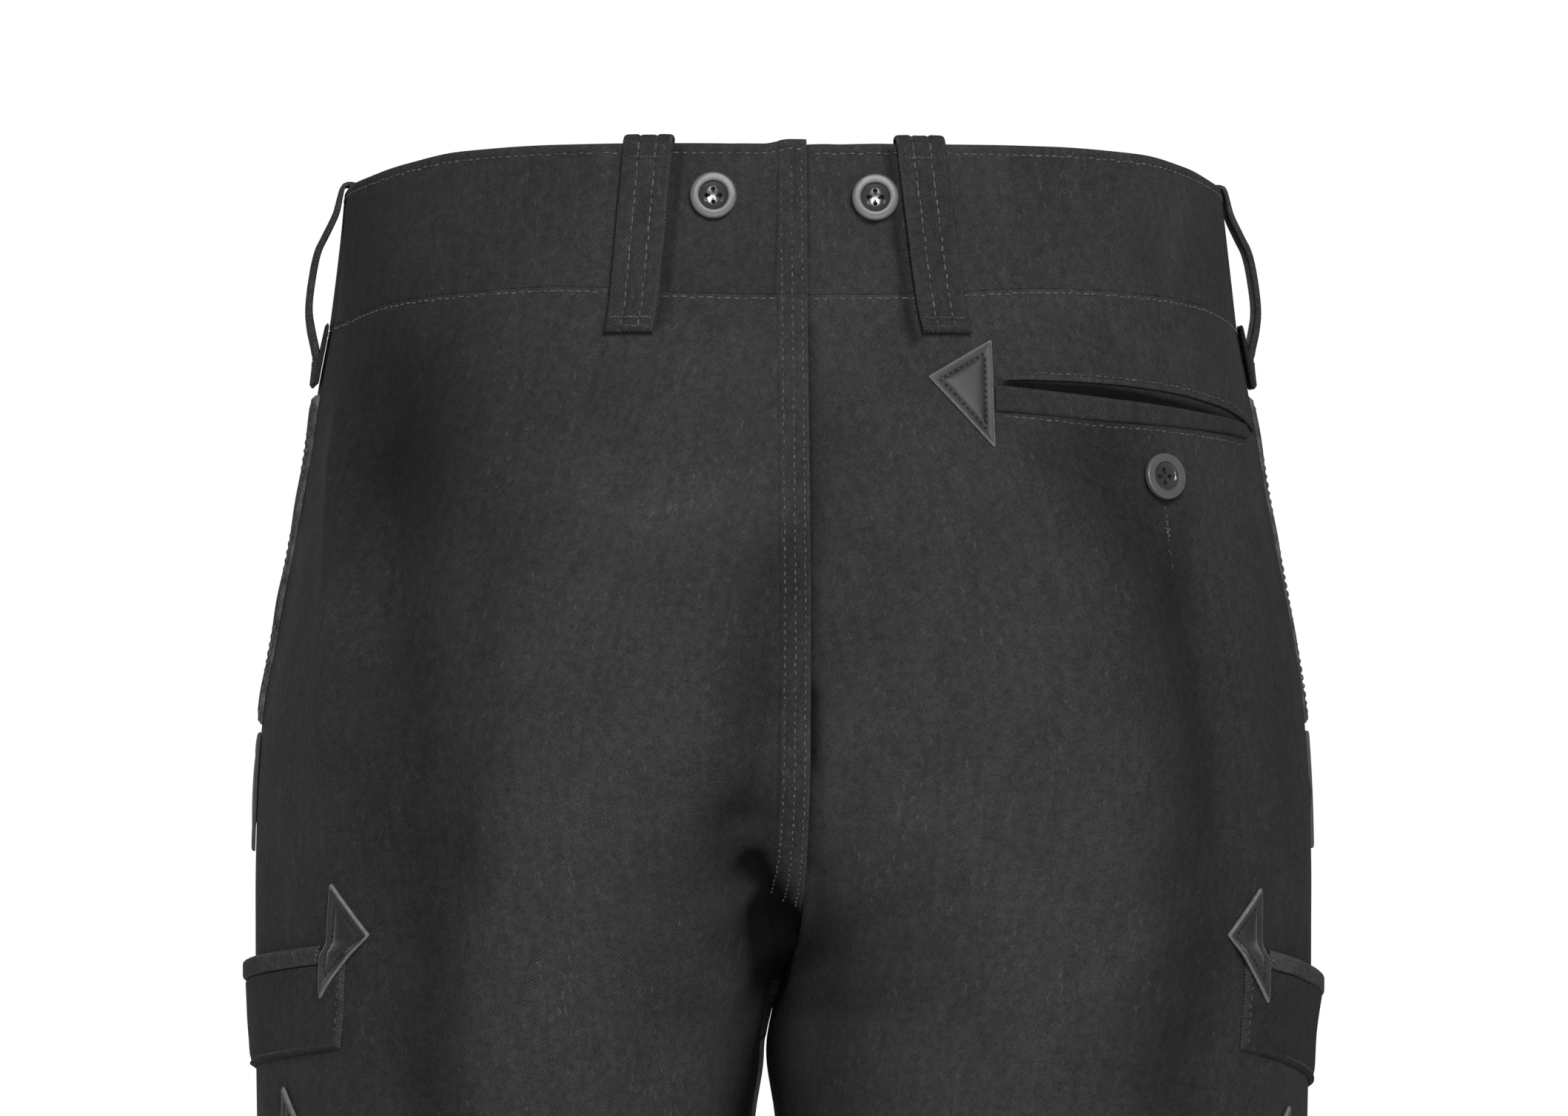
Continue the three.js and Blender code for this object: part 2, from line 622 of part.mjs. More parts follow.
function rulerPocket(pocket) {
  const mouth = (u) => THREE.MathUtils.lerp(pocket.z_back, pocket.z_front, u);
  const stationAt = (u) => THREE.MathUtils.lerp(pocket.back, pocket.front, u);
  const gape = (u, v) => SEAT + POCKET_GAPE * Math.sin(Math.PI * u) * (1 - v) ** 2;
  const rows = pocket.height > 100 ? 5 : 2;
  patch(`side_pocket_${pocket.name}`, pocket.side, 10, rows, POCKET_CLOTH, 'cloth', (u, v) => ({
    station: stationAt(u),
    z: mouth(u) - v * pocket.height,
    lift: gape(u, v),
  }));
  patch(`side_pocket_strip_${pocket.name}`, pocket.side, 10, 1, STRIP_CLOTH, 'cloth', (u, v) => {
    const along = STRIP_INSET + u * (1 - 2 * STRIP_INSET);
    const rise = SEAM_GAP + (1 - v) * STRIP_HEIGHT;
    return { station: stationAt(along), z: mouth(along) + rise, lift: gape(along, 0) };
  });
  for (const [end, u] of [['back', 0], ['front', 1]]) {
    const outward = u === 0 ? 1 : -1;
    const corners = [CORNER.top, CORNER.tip, CORNER.bottom].map((corner) => {
      const station = stationAt(u) + outward * corner.station;
      return [station, mouth((pocket.back - station) / (pocket.back - pocket.front)) + corner.rise];
    });
    triangle(`side_pocket_corner_${pocket.name}_${end}`, pocket.side, corners, (spot) => {
      const share = (pocket.back - spot.station) / (pocket.back - pocket.front);
      const past = outward * (spot.station - stationAt(u)) * POCKET_STATION;
      const above = spot.z - mouth(share);
      const down = THREE.MathUtils.clamp(-above / pocket.height, 0, 1);
      const cover = gape(THREE.MathUtils.clamp(share, 0, 1), down) + POCKET_CLOTH + COVER_CLEAR;
      const fade = smoothstep(COVER_START, COVER_END, Math.max(past, above));
      return THREE.MathUtils.lerp(cover, SEAT, fade);
    });
  }
}

function panelPieces() {
  const { name, side, corners } = BACK_WELT;
  patch(name, side, 8, 1, POCKET_CLOTH, 'cloth', (u, v) => between(corners, u, v));
  triangle(BACK_TRIANGLE.name, BACK_TRIANGLE.side, BACK_TRIANGLE.corners, () => SEAT);
  for (const [half, halfSide] of [['left', 1], ['right', -1]]) {
    patch(`front_pocket_welt_${half}`, halfSide, 2, 6, POCKET_CLOTH, 'cloth', (u, v) => (
      between(FRONT_WELT, u, v)));
    triangle(`front_pocket_corner_${half}`, halfSide, FRONT_TRIANGLE, () => SEAT);
  }
  for (const pocket of POCKETS) rulerPocket(pocket);
}

// ---- The whole garment ----

const wasm = await Module();
wasm.setup();
panels();
waistband('waistband_left', 1);
waistband('waistband_right', -1);
for (const loop of LOOPS) beltLoop(loop);
const turned = buttonGeometry(wasm);
for (const row of BUTTONS) button(row, turned);
panelPieces();

export default group;
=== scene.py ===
"""Carpenter's work trousers in heavy charcoal twill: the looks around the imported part.

Lengths are millimetres in the part's own frame until a mesh is made, which MM turns to metres.
+Z is up, -Y is the front, +X is the wearer's left (side 1, and side -1 is the right).
A station says how far round one half a place is: 0 is the side seam, 90 the fullest line of the
back, 180 the centre seam or inseam, and the front's are negative. A lift is a distance out of
the cloth.
"""

import bmesh
import bpy
import numpy as np
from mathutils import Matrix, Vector


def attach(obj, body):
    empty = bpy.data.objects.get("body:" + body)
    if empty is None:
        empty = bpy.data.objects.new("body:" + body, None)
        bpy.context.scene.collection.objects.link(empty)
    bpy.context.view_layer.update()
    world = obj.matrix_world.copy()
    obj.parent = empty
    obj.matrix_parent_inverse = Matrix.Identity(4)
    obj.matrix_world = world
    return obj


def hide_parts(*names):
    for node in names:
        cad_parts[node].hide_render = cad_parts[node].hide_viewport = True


MM = 0.001

# ---- The garment's shape, from the same named values as its solids ----

CLOTH = 1.8
BAND_CLOTH = 3.0
HEM_CLOTH = 3.2
HEM_HEIGHT = 24.0
HEM = -1124.0
CURVE_TOP = -160.0
FORK = -304.0
CURVE_POWER = 2.5
SHARE_LEAST = 0.05
FELL_WIDTH = 11.0
FELL_RISE = 1.25
FELL_END = -296.0
FLY_WIDTH = 38.0
FLY_RISE = 1.0
FLY_END = -213.0
LAP_LENGTH = 36.0
LAP_RISE = 3.6
LOOP_WIDTH = 18.0
SEAT = 0.8
LEATHER = 1.2
POCKET_CLOTH = 1.6
POCKET_GAPE = 1.9
POCKET_STATION = 1.75
STRIP_HEIGHT = 7.0
STRIP_CLOTH = 2.2
STRIP_INSET = 0.1
COVER_CLEAR = 0.5
COVER_START = 3.0
COVER_END = 9.0
CLEAR = 0.02            # each piece keeps this far from the planes of the centre and side seams
ROLL = 1.1              # how far a sewn edge turns in
ROLL_WIDTH = 1.5
WAIST_ROLL = (0.2, 0.5)
SEAM_LEVEL = -54.5      # the waist seam at the centre back
NOWHERE = 9999.0        # a height above everything
SIDE_NAMES = {1: "left", -1: "right"}

# z, half width, middle line, depth behind, depth in front
BODY = [
    (20, 162.5, 28, 114, 110),
    (0, 163.6, 30, 116, 112),
    (-60, 170, 36, 122, 116),
    (-85, 174.5, 42, 126, 118),
    (-130, 181.5, 54, 133, 120),
    (-170, 189, 65, 137, 120),
    (-210, 195.5, 77, 137, 118),
    (-245, 197.5, 88, 131, 113),
    (-275, 198, 95.5, 123, 108),
    (-304, 198, 99, 114, 103),
    (-360, 197.5, 100.5, 104, 99),
    (-450, 194, 103, 92, 92),
    (-600, 186, 105, 82, 78),
    (-750, 182, 106, 78, 74),
    (-900, 184, 109, 77, 74),
    (-1124, 190, 114, 78, 75),
]

# z, clearance of a leg's inner side from the plane between the legs, lean of that plane
BETWEEN = [
    (-290, 0.15, 0),
    (-304, 0.15, 1.5),
    (-335, 0.4, 7),
    (-358, 3.6, 7),
    (-450, 12, 6),
    (-600, 24, 3),
    (-750, 30, 0),
    (-900, 34, 0),
    (-1124, 38, 0),
]

# station, waistband's top edge, seam under it
WAIST = [
    (180, 0, SEAM_LEVEL),
    (90, 0.3, -54),
    (65, 0.3, -51.5),
    (45, -1.2, -53.5),
    (32, -4.5, -56),
    (15, -9.5, -61.5),
    (0, -12, -64),
    (-45, -18, -70),
    (-90, -21, -74),
    (-180, -21, -74),
]

# The largest folds, as in the solids: side, station and z of both ends, width, depth
FOLDS = [
    (1, 61, -150, 69, -258, 16, -5),
    (1, 26, -110, 39, -212, 11, 3),
    (1, 74, -188, 81, -262, 15, 3),
    (1, 164, -206, 157, -242, 10, -5),
    (1, 157, -250, 166, -290, 13, -11),
    (-1, 49, -160, 52, -238, 16, -5),
    (-1, 21, -236, 32, -278, 9, 3),
    (-1, 87, -204, 135, -230, 12, -2),
    (1, -118, -285, -70, -235, 13, -5),
    (-1, -120, -283, -64, -228, 14, -5),
    (1, -104, -322, -58, -300, 12, -3),
    (-1, -100, -330, -50, -306, 13, -3),
    (1, -125, -585, -40, -560, 16, -4),
    (-1, -120, -575, -50, -592, 15, -4),
    (1, 55, -610, 140, -640, 17, -6),
    (-1, 60, -642, 135, -612, 16, -6),
    (1, 80, -690, 150, -725, 16, -4),
    (-1, 75, -712, 145, -700, 17, -4),
    (1, -140, -985, -40, -1012, 18, -6),
    (-1, -135, -1008, -50, -986, 17, -6),
    (1, 50, -960, 130, -985, 18, -4),
    (-1, 55, -975, 125, -950, 18, -4),
]

# Smaller creases of the worn cloth, in the same columns
CREASES = [
    # seat and thighs behind, the wearer's left
    (1, 78, -168, 90, -132, 9, 0.9),
    (1, 90, -132, 140, -147, 9, 0.9),
    (1, 95, -166, 128, -176, 13, -1.1),
    (1, 176, -70, 172, -150, 5, -0.5),
    (1, 128, -196, 158, -214, 8, -0.7),
    (1, 118, -232, 152, -262, 9, -0.9),
    (1, 104, -262, 148, -292, 10, -0.9),
    (1, 96, -300, 150, -330, 11, -1.0),
    (1, 52, -118, 70, -108, 9, 0.5),
    (1, 70, -300, 92, -352, 14, -1.2),
    (1, 84, -352, 120, -372, 11, 0.9),
    # seat and thighs behind, the wearer's right
    (-1, 84, -205, 110, -222, 7, 0.7),
    (-1, 66, -262, 92, -300, 9, -1.0),
    (-1, 74, -292, 90, -316, 8, 0.8),
    (-1, 112, -258, 150, -284, 9, -0.8),
    (-1, 102, -292, 150, -322, 10, -0.9),
    (-1, 30, -302, 42, -286, 7, -0.9),
    (-1, 150, -220, 172, -262, 9, -0.9),
    (-1, 60, -330, 96, -372, 13, -1.2),
    (-1, 176, -80, 174, -150, 5, -0.4),
    # front of the hips and thighs
    (1, -90, -96, -40, -120, 12, -0.9),
    (-1, -96, -100, -44, -118, 12, -0.9),
    (1, -150, -252, -104, -268, 9, -1.3),
    (-1, -152, -256, -108, -262, 9, -1.3),
    (1, -140, -300, -90, -340, 11, -1.4),
    (-1, -142, -304, -84, -336, 11, -1.4),
    (1, -60, -180, -30, -210, 12, 1.0),
    (-1, -62, -176, -34, -214, 12, 1.0),
    (1, -130, -352, -70, -392, 13, -1.2),
    (-1, -126, -360, -66, -388, 13, -1.2),
    # above and below the knees, then the break over the foot
    (1, -110, -520, -50, -500, 13, -1.6),
    (-1, -118, -512, -54, -528, 13, -1.6),
    (1, -112, -655, -52, -640, 14, -1.8),
    (-1, -104, -662, -48, -676, 14, -1.8),
    (1, 60, -560, 128, -574, 13, -1.7),
    (-1, 54, -566, 122, -552, 13, -1.7),
    (1, 66, -770, 130, -802, 15, -1.6),
    (-1, 60, -792, 126, -780, 15, -1.6),
    (1, -132, -930, -60, -952, 15, -1.8),
    (-1, -126, -946, -56, -930, 15, -1.8),
    (1, -134, -1056, -52, -1070, 14, -1.8),
    (-1, -128, -1062, -58, -1046, 14, -1.8),
    (1, 44, -1030, 118, -1052, 14, -1.8),
    (-1, 50, -1040, 122, -1024, 14, -1.8),
]
FOLD_PIECES = 6

# Long soft folds of the hips and thighs behind: side, places they run through, width, depth
DRAPES = [
    (1, ((36, -96), (44, -150), (54, -206), (60, -262), (66, -340)), 16, -4.5),
    (1, ((22, -100), (30, -170), (38, -240), (44, -300)), 11, 1.6),
    (1, ((88, -186), (82, -236), (80, -300), (84, -360)), 16, 2.4),
    (1, ((152, -226), (156, -246)), 11, 5.0),
    (1, ((162, -266), (168, -278), (174, -290)), 7, -4.0),
    (1, ((168, -300), (173, -330), (175, -380)), 12, -5.0),
    (1, ((100, -306), (128, -304), (148, -306)), 26, 1.5),
    (-1, ((62, -112), (57, -150), (55, -200), (58, -262), (62, -340)), 20, -2.6),
    (-1, ((24, -190), (30, -250), (36, -310)), 10, 1.5),
    (-1, ((76, -130), (74, -200), (76, -290)), 18, 1.6),
    (-1, ((100, -304), (130, -302), (156, -304)), 28, 2.4),
    (-1, ((176, -296), (160, -284), (132, -272)), 9, -1.4),
    (-1, ((174, -322), (150, -306), (120, -296)), 9, 1.2),
]

# Painted shade (-) in fold troughs, the crotch and beside raised pieces, and paler places (+) of worn,
# faded cloth and painted highlight, in the same columns
SHADES_AND_FADES = [
    # painted shade down the trough of the long fold on the left hip
    (1, ((44, -84), (50, -134), (56, -214), (64, -280), (72, -350)), 27, -1.08),
    (1, ((8, 0), (22, -60), (34, -112)), 34, -1.10),
    (1, ((34, -150), (40, -240), (46, -320)), 12, -0.2),
    (1, ((100, -160), (104, -220), (98, -290), (100, -380)), 36, 0.24),
    # painted highlight along an arch over the left seat, and painted shade under it
    (1, ((94, -140), (112, -128), (136, -134)), 17, 0.30),
    (1, ((100, -158), (124, -166), (140, -186)), 14, -0.24),
    # painted shade in the crotch, where the seat turns under, and down the inner side of the left leg
    (1, ((161, -266), (168, -275), (174, -284), (178, -289)), 6.5, -2.9),
    (1, ((171, -284), (175, -290), (177, -298)), 8, -2.7),
    (1, ((168, -290), (167, -300), (168, -316), (163, -330), (160, -345), (156, -400)), 11, -1.5),
    (1, ((164, -300), (162, -318), (158, -332), (154, -350), (150, -400)), 17, -1.5),
    # painted shade in the crease beside the centre seam
    (1, ((164, -150), (156, -200), (152, -255)), 17, -1.15),
    # painted shadow beside the left back belt loop
    (1, ((83.2, -2), (83.0, -52)), 2.4, -1.4),
    (1, ((83.0, -56), (82.8, -66)), 2.4, -1.4),
    # painted shade down the trough of the long fold on the right hip
    (-1, ((62, -108), (56, -150), (54, -200), (61, -262), (66, -350)), 25, -1.12),
    (-1, ((26, -150), (30, -220), (34, -300)), 24, -0.60),
    (-1, ((118, -110), (112, -170), (110, -230)), 40, -0.10),
    (-1, ((112, -250), (108, -300), (108, -360)), 44, 0.40),
    (-1, ((172, -110), (168, -150), (170, -190)), 13, -0.26),
    (-1, ((16, -60), (20, -130), (24, -200)), 8, 0.35),
    # painted shadow beside the edge of the felled seam, on the right panel
    (-1, ((179.4, -70), (179.2, -200), (178.8, -258)), 3.6, -1.0),
    (-1, ((179.2, -198), (179.0, -222)), 4, -1.2),
    # painted shade in the crotch
    (-1, ((176, -262), (172, -276), (177, -300)), 7, -0.9),
    (-1, ((34, -18), (38, -34)), 9, 0.6),
    # painted shadow in the back pocket's mouth, under its lip
    (-1, ((77, -87.0), (60, -89.6), (44, -94.0), (30, -99.0), (23, -101.5)), 2.8, -3.2),
    # painted shadow beside the right back belt loop
    (-1, ((90.9, -3), (90.3, -52)), 2.6, -1.6),
    (-1, ((90.2, -56), (90.0, -70)), 2.6, -1.6),
]

# Slow unevenness of the cloth: amplitude, then radians in one station and in one millimetre
# of height, and a phase
WAVES = [
    (0.32, 0.105, 0.021, 0.4),
    (0.26, -0.062, 0.047, 2.1),
    (0.18, 0.211, -0.038, 4.0),
    (0.13, 0.158, 0.093, 1.2),
]


def lookup(rows, at, index):
    """Smooth value of a column between a table's rows, whose first column falls."""
    key = np.array([row[0] for row in rows], float)
    value = np.array([row[index] for row in rows], float)
    slope = np.diff(value) / np.diff(key)
    product = slope[:-1] * slope[1:]
    total = np.where(product > 0, slope[:-1] + slope[1:], 1)
    middle = np.where(product > 0, 2 * product / total, 0)
    tangent = np.concatenate([slope[:1], middle, slope[-1:]])
    at = np.clip(at, key[-1], key[0])
    i = np.clip(np.searchsorted(-key, -at, side="right") - 1, 0, len(key) - 2)
    span = key[i + 1] - key[i]
    t = (at - key[i]) / span
    rest = 1 - t
    return (
        (1 + 2 * t) * rest * rest * value[i]
        + t * rest * rest * span * tangent[i]
        + t * t * (3 - 2 * t) * value[i + 1]
        - t * t * rest * span * tangent[i + 1]
    )


def smoothstep(low, high, value):
    """0 up to one value, 1 from another on, and smooth between them."""
    t = np.clip((value - low) / (high - low), 0, 1)
    return t * t * (3 - 2 * t)


def waist_top(station):
    return lookup(WAIST, station, 1)


def waist_seam(station):
    return lookup(WAIST, station, 2)


def seat_share(z):
    """How much of a quarter turn the arc behind the middle line makes, as a sine."""
    down = np.clip((CURVE_TOP - z) / (CURVE_TOP - FORK), 0, 1)
    return np.where(z > FORK, np.maximum(down**CURVE_POWER, SHARE_LEAST), 1.0)


def body(side, station, z):
    """Points of the plain outer surface."""
    station, z = np.broadcast_arrays(np.asarray(station, float), np.asarray(z, float))
    lean = lookup(BETWEEN, z, 2)
    middle = lookup(BODY, z, 2)
    outer = lookup(BODY, z, 1) - side * lean - middle
    front = station < 0
    depth = np.where(front, lookup(BODY, z, 4), lookup(BODY, z, 3))
    share = seat_share(z)
    inner = np.where(z > FORK, middle / share, middle - lookup(BETWEEN, z, 1))
    quarter = np.abs(station) / 90
    near = np.minimum(quarter, 1) * np.pi / 2
    far = (np.maximum(quarter, 1) - 1) * np.arcsin(share)
    first = quarter <= 1
    across = np.where(first, middle + outer * np.cos(near), middle - inner * np.sin(far))
    deep = depth * np.where(first, np.sin(near), np.cos(far))
    return np.stack([lean + side * across, np.where(front, -deep, deep), z], -1)


def way_in(station, z):
    """Share of the way across from the fullest line to the centre plane."""
    share = seat_share(z)
    return np.sin((station / 90 - 1) * np.arcsin(share)) / share


def station_way_in(way, z):
    share = seat_share(z)
    return 90 * (1 + np.arcsin(np.clip(share * way, 0, share)) / np.arcsin(share))


EASE_REACH = 26.0       # the turn under the seat is eased this far above and below the fork
EASE_SPAN = 17.0
EASE_WEIGHTS = {-1: 0.11, -0.6: 0.21, -0.2: 0.18, 0.2: 0.18, 0.6: 0.21, 1: 0.11}


def eased(side, station, z):
    """The body, with its turn from the seat into the thigh eased over some height."""
    station, z = np.broadcast_arrays(np.asarray(station, float), np.asarray(z, float))
    points = body(side, station, z)
    near = (np.abs(z - FORK) < EASE_REACH) & (np.abs(station) > 90)
    if not near.any():
        return points
    s, height = station[near], z[near]
    span = EASE_SPAN * (1 - ((height - FORK) / EASE_REACH) ** 2)
    way = way_in(np.abs(s), height)
    total = np.zeros((len(s), 3))
    for step, weight in EASE_WEIGHTS.items():
        level = height + step * span
        total += weight * body(side, np.sign(s) * station_way_in(way, level), level)
    points[near] = total
    return points


def unit(vectors):
    return vectors / np.maximum(np.linalg.norm(vectors, axis=-1, keepdims=True), 1e-9)


def bell(distance, width):
    """1 at no distance, falling to nothing over a few widths either way."""
    return np.exp(-((distance / width) ** 2))


def normal(side, station, z):
    """The way out of the plain surface."""
    around = eased(side, station + 0.1, z) - eased(side, station - 0.1, z)
    up = eased(side, station, z + 0.5) - eased(side, station, z - 0.5)
    return unit(np.cross(around, up)) * side


def distance_to_line(points, line):
    """Distance of each point from a line of short straight pieces."""
    best = np.full(len(points), np.inf)
    for a, b in zip(line[:-1], line[1:]):
        run = b - a
        share = np.clip(((points - a) @ run) / (run @ run), 0, 1)
        best = np.minimum(best, np.linalg.norm(points - a - share[:, None] * run, axis=1))
    return best


def fold_height(side, station, z, points):
    """Height of the folds and creases over the plain shape."""
    straight = [(row[0], (row[1:3], row[3:5]), *row[5:]) for row in FOLDS + CREASES]
    return soft_lines(side, station, z, points, straight + DRAPES)


def soft_lines(side, station, z, points, rows):
    """Sum of rows that are each highest on a line through places and fade out sideways."""
    height = np.zeros(len(points))
    for row_side, places, width, depth in rows:
        if row_side != side:
            continue
        s, low, high = places[0][0], min(q[1] for q in places), max(q[1] for q in places)
        near = (s * station >= 0) & (z > low - 3 * width) & (z < high + 3 * width)
        if near.any():
            knots = np.arange(len(places))
            share = np.linspace(0, knots[-1], FOLD_PIECES * knots[-1] + 1)
            line = body(side, *(np.interp(share, knots, [q[k] for q in places]) for k in (0, 1)))
            distance = distance_to_line(points[near], line)
            height[near] += depth * bell(distance, width)
    return height


def shade_and_fade(side, station, z):
    """How much paler, by fading and painted highlight, or darker, by painted shade, the cloth is than
    the rest.
    """
    station, z = np.broadcast_arrays(np.asarray(station, float), z)
    points = eased(side, station, z).reshape(-1, 3)
    total = soft_lines(side, station.ravel(), z.ravel(), points, SHADES_AND_FADES)
    return total.reshape(station.shape)


def wave_height(side, station, z):
    """Slow unevenness, which fades out at the side seam and the centre seam."""
    calm = smoothstep(0, 12, np.abs(station)) * smoothstep(180, 168, np.abs(station))
    total = sum(a * np.sin(s * station * side + h * z + p) for a, s, h, p in WAVES)
    return total * calm


def cloth(side, station, z, lift):
    """Points of the cloth's outer side, moved out of it by a lift."""
    station, z, lift = np.broadcast_arrays(*(np.asarray(v, float) for v in (station, z, lift)))
    shape = station.shape
    flat_station, flat_z = station.ravel(), z.ravel()
    points = eased(side, flat_station, flat_z)
    out = lift.ravel() + fold_height(side, flat_station, flat_z, points)
    out = out + wave_height(side, flat_station, flat_z)
    points = points + normal(side, flat_station, flat_z) * out[:, None]
    return points.reshape(*shape, 3)


def arcs(side, facing, z):
    """Even stations from the centre seam to the side seam, and how far along the cloth each is
    from the centre seam in rows at heights z."""
    samples = np.linspace(180, 0, 361)
    points = eased(side, facing * samples[None, :], z[:, None])
    steps = np.linalg.norm(np.diff(points, axis=1), axis=2)
    walked = np.concatenate([np.zeros((len(z), 1)), np.cumsum(steps, axis=1)], axis=1)
    return samples, walked


def row_interp(at, known, values):
    """Row by row interpolation of values at known places."""
    count = len(at)
    known = np.broadcast_to(known, (count, known.shape[-1]))
    values = np.broadcast_to(values, (count, values.shape[-1]))
    return np.array([np.interp(at[i], known[i], values[i]) for i in range(count)])


def follow(side, facing, distance, heights):
    """Stations that lie a distance along the cloth from the centre seam at some heights."""
    z = np.asarray(heights, float)
    samples, walked = arcs(side, facing, z)
    return facing * row_interp(np.full((len(z), 1), float(distance)), walked, samples)[:, 0]


# ---- Making meshes ----


def grid_faces(rows, columns, start=0, flip=False, ring=False):
    """Quads of a grid of points. A ring closes on itself across its columns."""
    r = np.arange(rows - 1)[:, None]
    c = np.arange(columns if ring else columns - 1)[None, :]
    after = (c + 1) % columns
    a = start + r * columns + c
    b = start + (r + 1) * columns + c
    quads = np.stack([a, b, start + (r + 1) * columns + after, start + r * columns + after], -1)
    quads = quads.reshape(-1, 4)
    return quads[:, ::-1] if flip else quads


def shell(outer, inner):
    """Points and quads of a closed thin wall between two grids of the same size."""
    rows, columns = outer.shape[:2]
    points = np.concatenate([outer.reshape(-1, 3), inner.reshape(-1, 3)])
    layer = rows * columns
    top = np.arange(columns)
    bottom = top + (rows - 1) * columns
    left = np.arange(rows) * columns
    right = left + columns - 1
    parts = [grid_faces(rows, columns), grid_faces(rows, columns, layer, flip=True)]
    for edge, flip in ((top, False), (bottom, True), (left, True), (right, False)):
        a, b = edge[:-1], edge[1:]
        wall = np.stack([a, b, b + layer, a + layer], -1)
        parts.append(wall[:, ::-1] if flip else wall)
    return points, facing_out(points, parts)


def volume(points, faces):
    """Signed volume of a closed mesh of quads."""
    p = points - points.mean(0)
    total = 0.0
    for i, j in ((1, 2), (2, 3)):
        a, b, c = p[faces[:, 0]], p[faces[:, i]], p[faces[:, j]]
        total += np.einsum("ij,ij->i", a, np.cross(b, c)).sum()
    return total


def round_circle(count):
    """Angles spread evenly over a full turn."""
    return np.arange(count) * 2 * np.pi / count


def circle(radius, height, count):
    """Points of a level circle."""
    turn = round_circle(count)
    return np.stack([radius * np.cos(turn), radius * np.sin(turn), np.full(count, height)], -1)


def tube(rings):
    """Points and faces of a closed tube of rings, with a fan at each end."""
    rows, columns = rings.shape[:2]
    ends = np.stack([rings[0].mean(0), rings[-1].mean(0)])
    points = np.concatenate([rings.reshape(-1, 3), ends])
    c = np.arange(columns)
    after = (c + 1) % columns
    first = np.full(columns, rows * columns)
    last = first + 1
    base = (rows - 1) * columns
    caps = [
        np.stack([c, after, first, first], -1),
        np.stack([base + after, base + c, last, last], -1),
    ]
    return points, facing_out(points, [grid_faces(rows, columns, ring=True), *caps])


def facing_out(points, parts):
    """The faces of a closed mesh in one list, turned so that they face out."""
    faces = np.concatenate(parts)
    return faces[:, ::-1] if volume(points, faces) < 0 else faces


def add_object(name, data):
    """An object in the scene."""
    obj = bpy.data.objects.new(name, data)
    bpy.context.scene.collection.objects.link(obj)
    return obj


def mesh_object(name, points, faces):
    """An object of points in millimetres. A quad that names a corner twice becomes a triangle."""
    mesh = bpy.data.meshes.new(name)
    mesh.from_pydata((points * MM).tolist(), [], [list(dict.fromkeys(face)) for face in faces])
    return add_object(name, mesh)


def dress(obj, wear_and_shade, material, nodes):
    """Smooth shading and the wear and painted shade of each point, on a piece that rides on the one
    body.
    """
    mesh = obj.data
    mesh.polygons.foreach_set("use_smooth", np.ones(len(mesh.polygons), bool))
    attribute = mesh.attributes.new("wear_and_shade", "FLOAT", "POINT")
    attribute.data.foreach_set("value", wear_and_shade.astype(np.float32))
    mesh.materials.append(material)
    mesh.update()
    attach(obj, "root")
    if nodes:
        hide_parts(*nodes)


def piece(name, points, faces, material, nodes=(), cut=None, wear_and_shade=None):
    """A piece with the place of each point on its cut, which the cloths are drawn on."""
    obj = mesh_object(name, points, faces.tolist())
    corners = np.empty(len(obj.data.loops), np.int32)
    obj.data.loops.foreach_get("vertex_index", corners)
    place = points[:, [0, 2]] if cut is None else cut
    layer = obj.data.uv_layers.new(name="cut")
    layer.data.foreach_set("uv", place[corners].astype(np.float32).ravel())
    dress(obj, np.zeros(len(points)) if wear_and_shade is None else wear_and_shade, material, nodes)


def cloth_shell(name, outer, inner, cut, wear_and_shade, material, nodes=None):
    """A thin wall of cloth between two grids, in place of the solid of the same name."""
    points, faces = shell(outer, inner)
    cut = np.concatenate([cut.reshape(-1, 2)] * 2)
    wear_and_shade = np.concatenate([wear_and_shade.ravel(), np.zeros(wear_and_shade.size)])
    nodes = [name] if nodes is None else nodes
    piece("cloth_" + name, points, faces, material, nodes, cut, wear_and_shade)


# ---- Stitches ----

THREAD = 0.31           # half of the thread's width
BEAD_RINGS = [(-0.5, 0.0), (-0.36, 0.85), (0.0, 1.0), (0.36, 0.85), (0.5, 0.0)]
BEAD_SIDES = 5


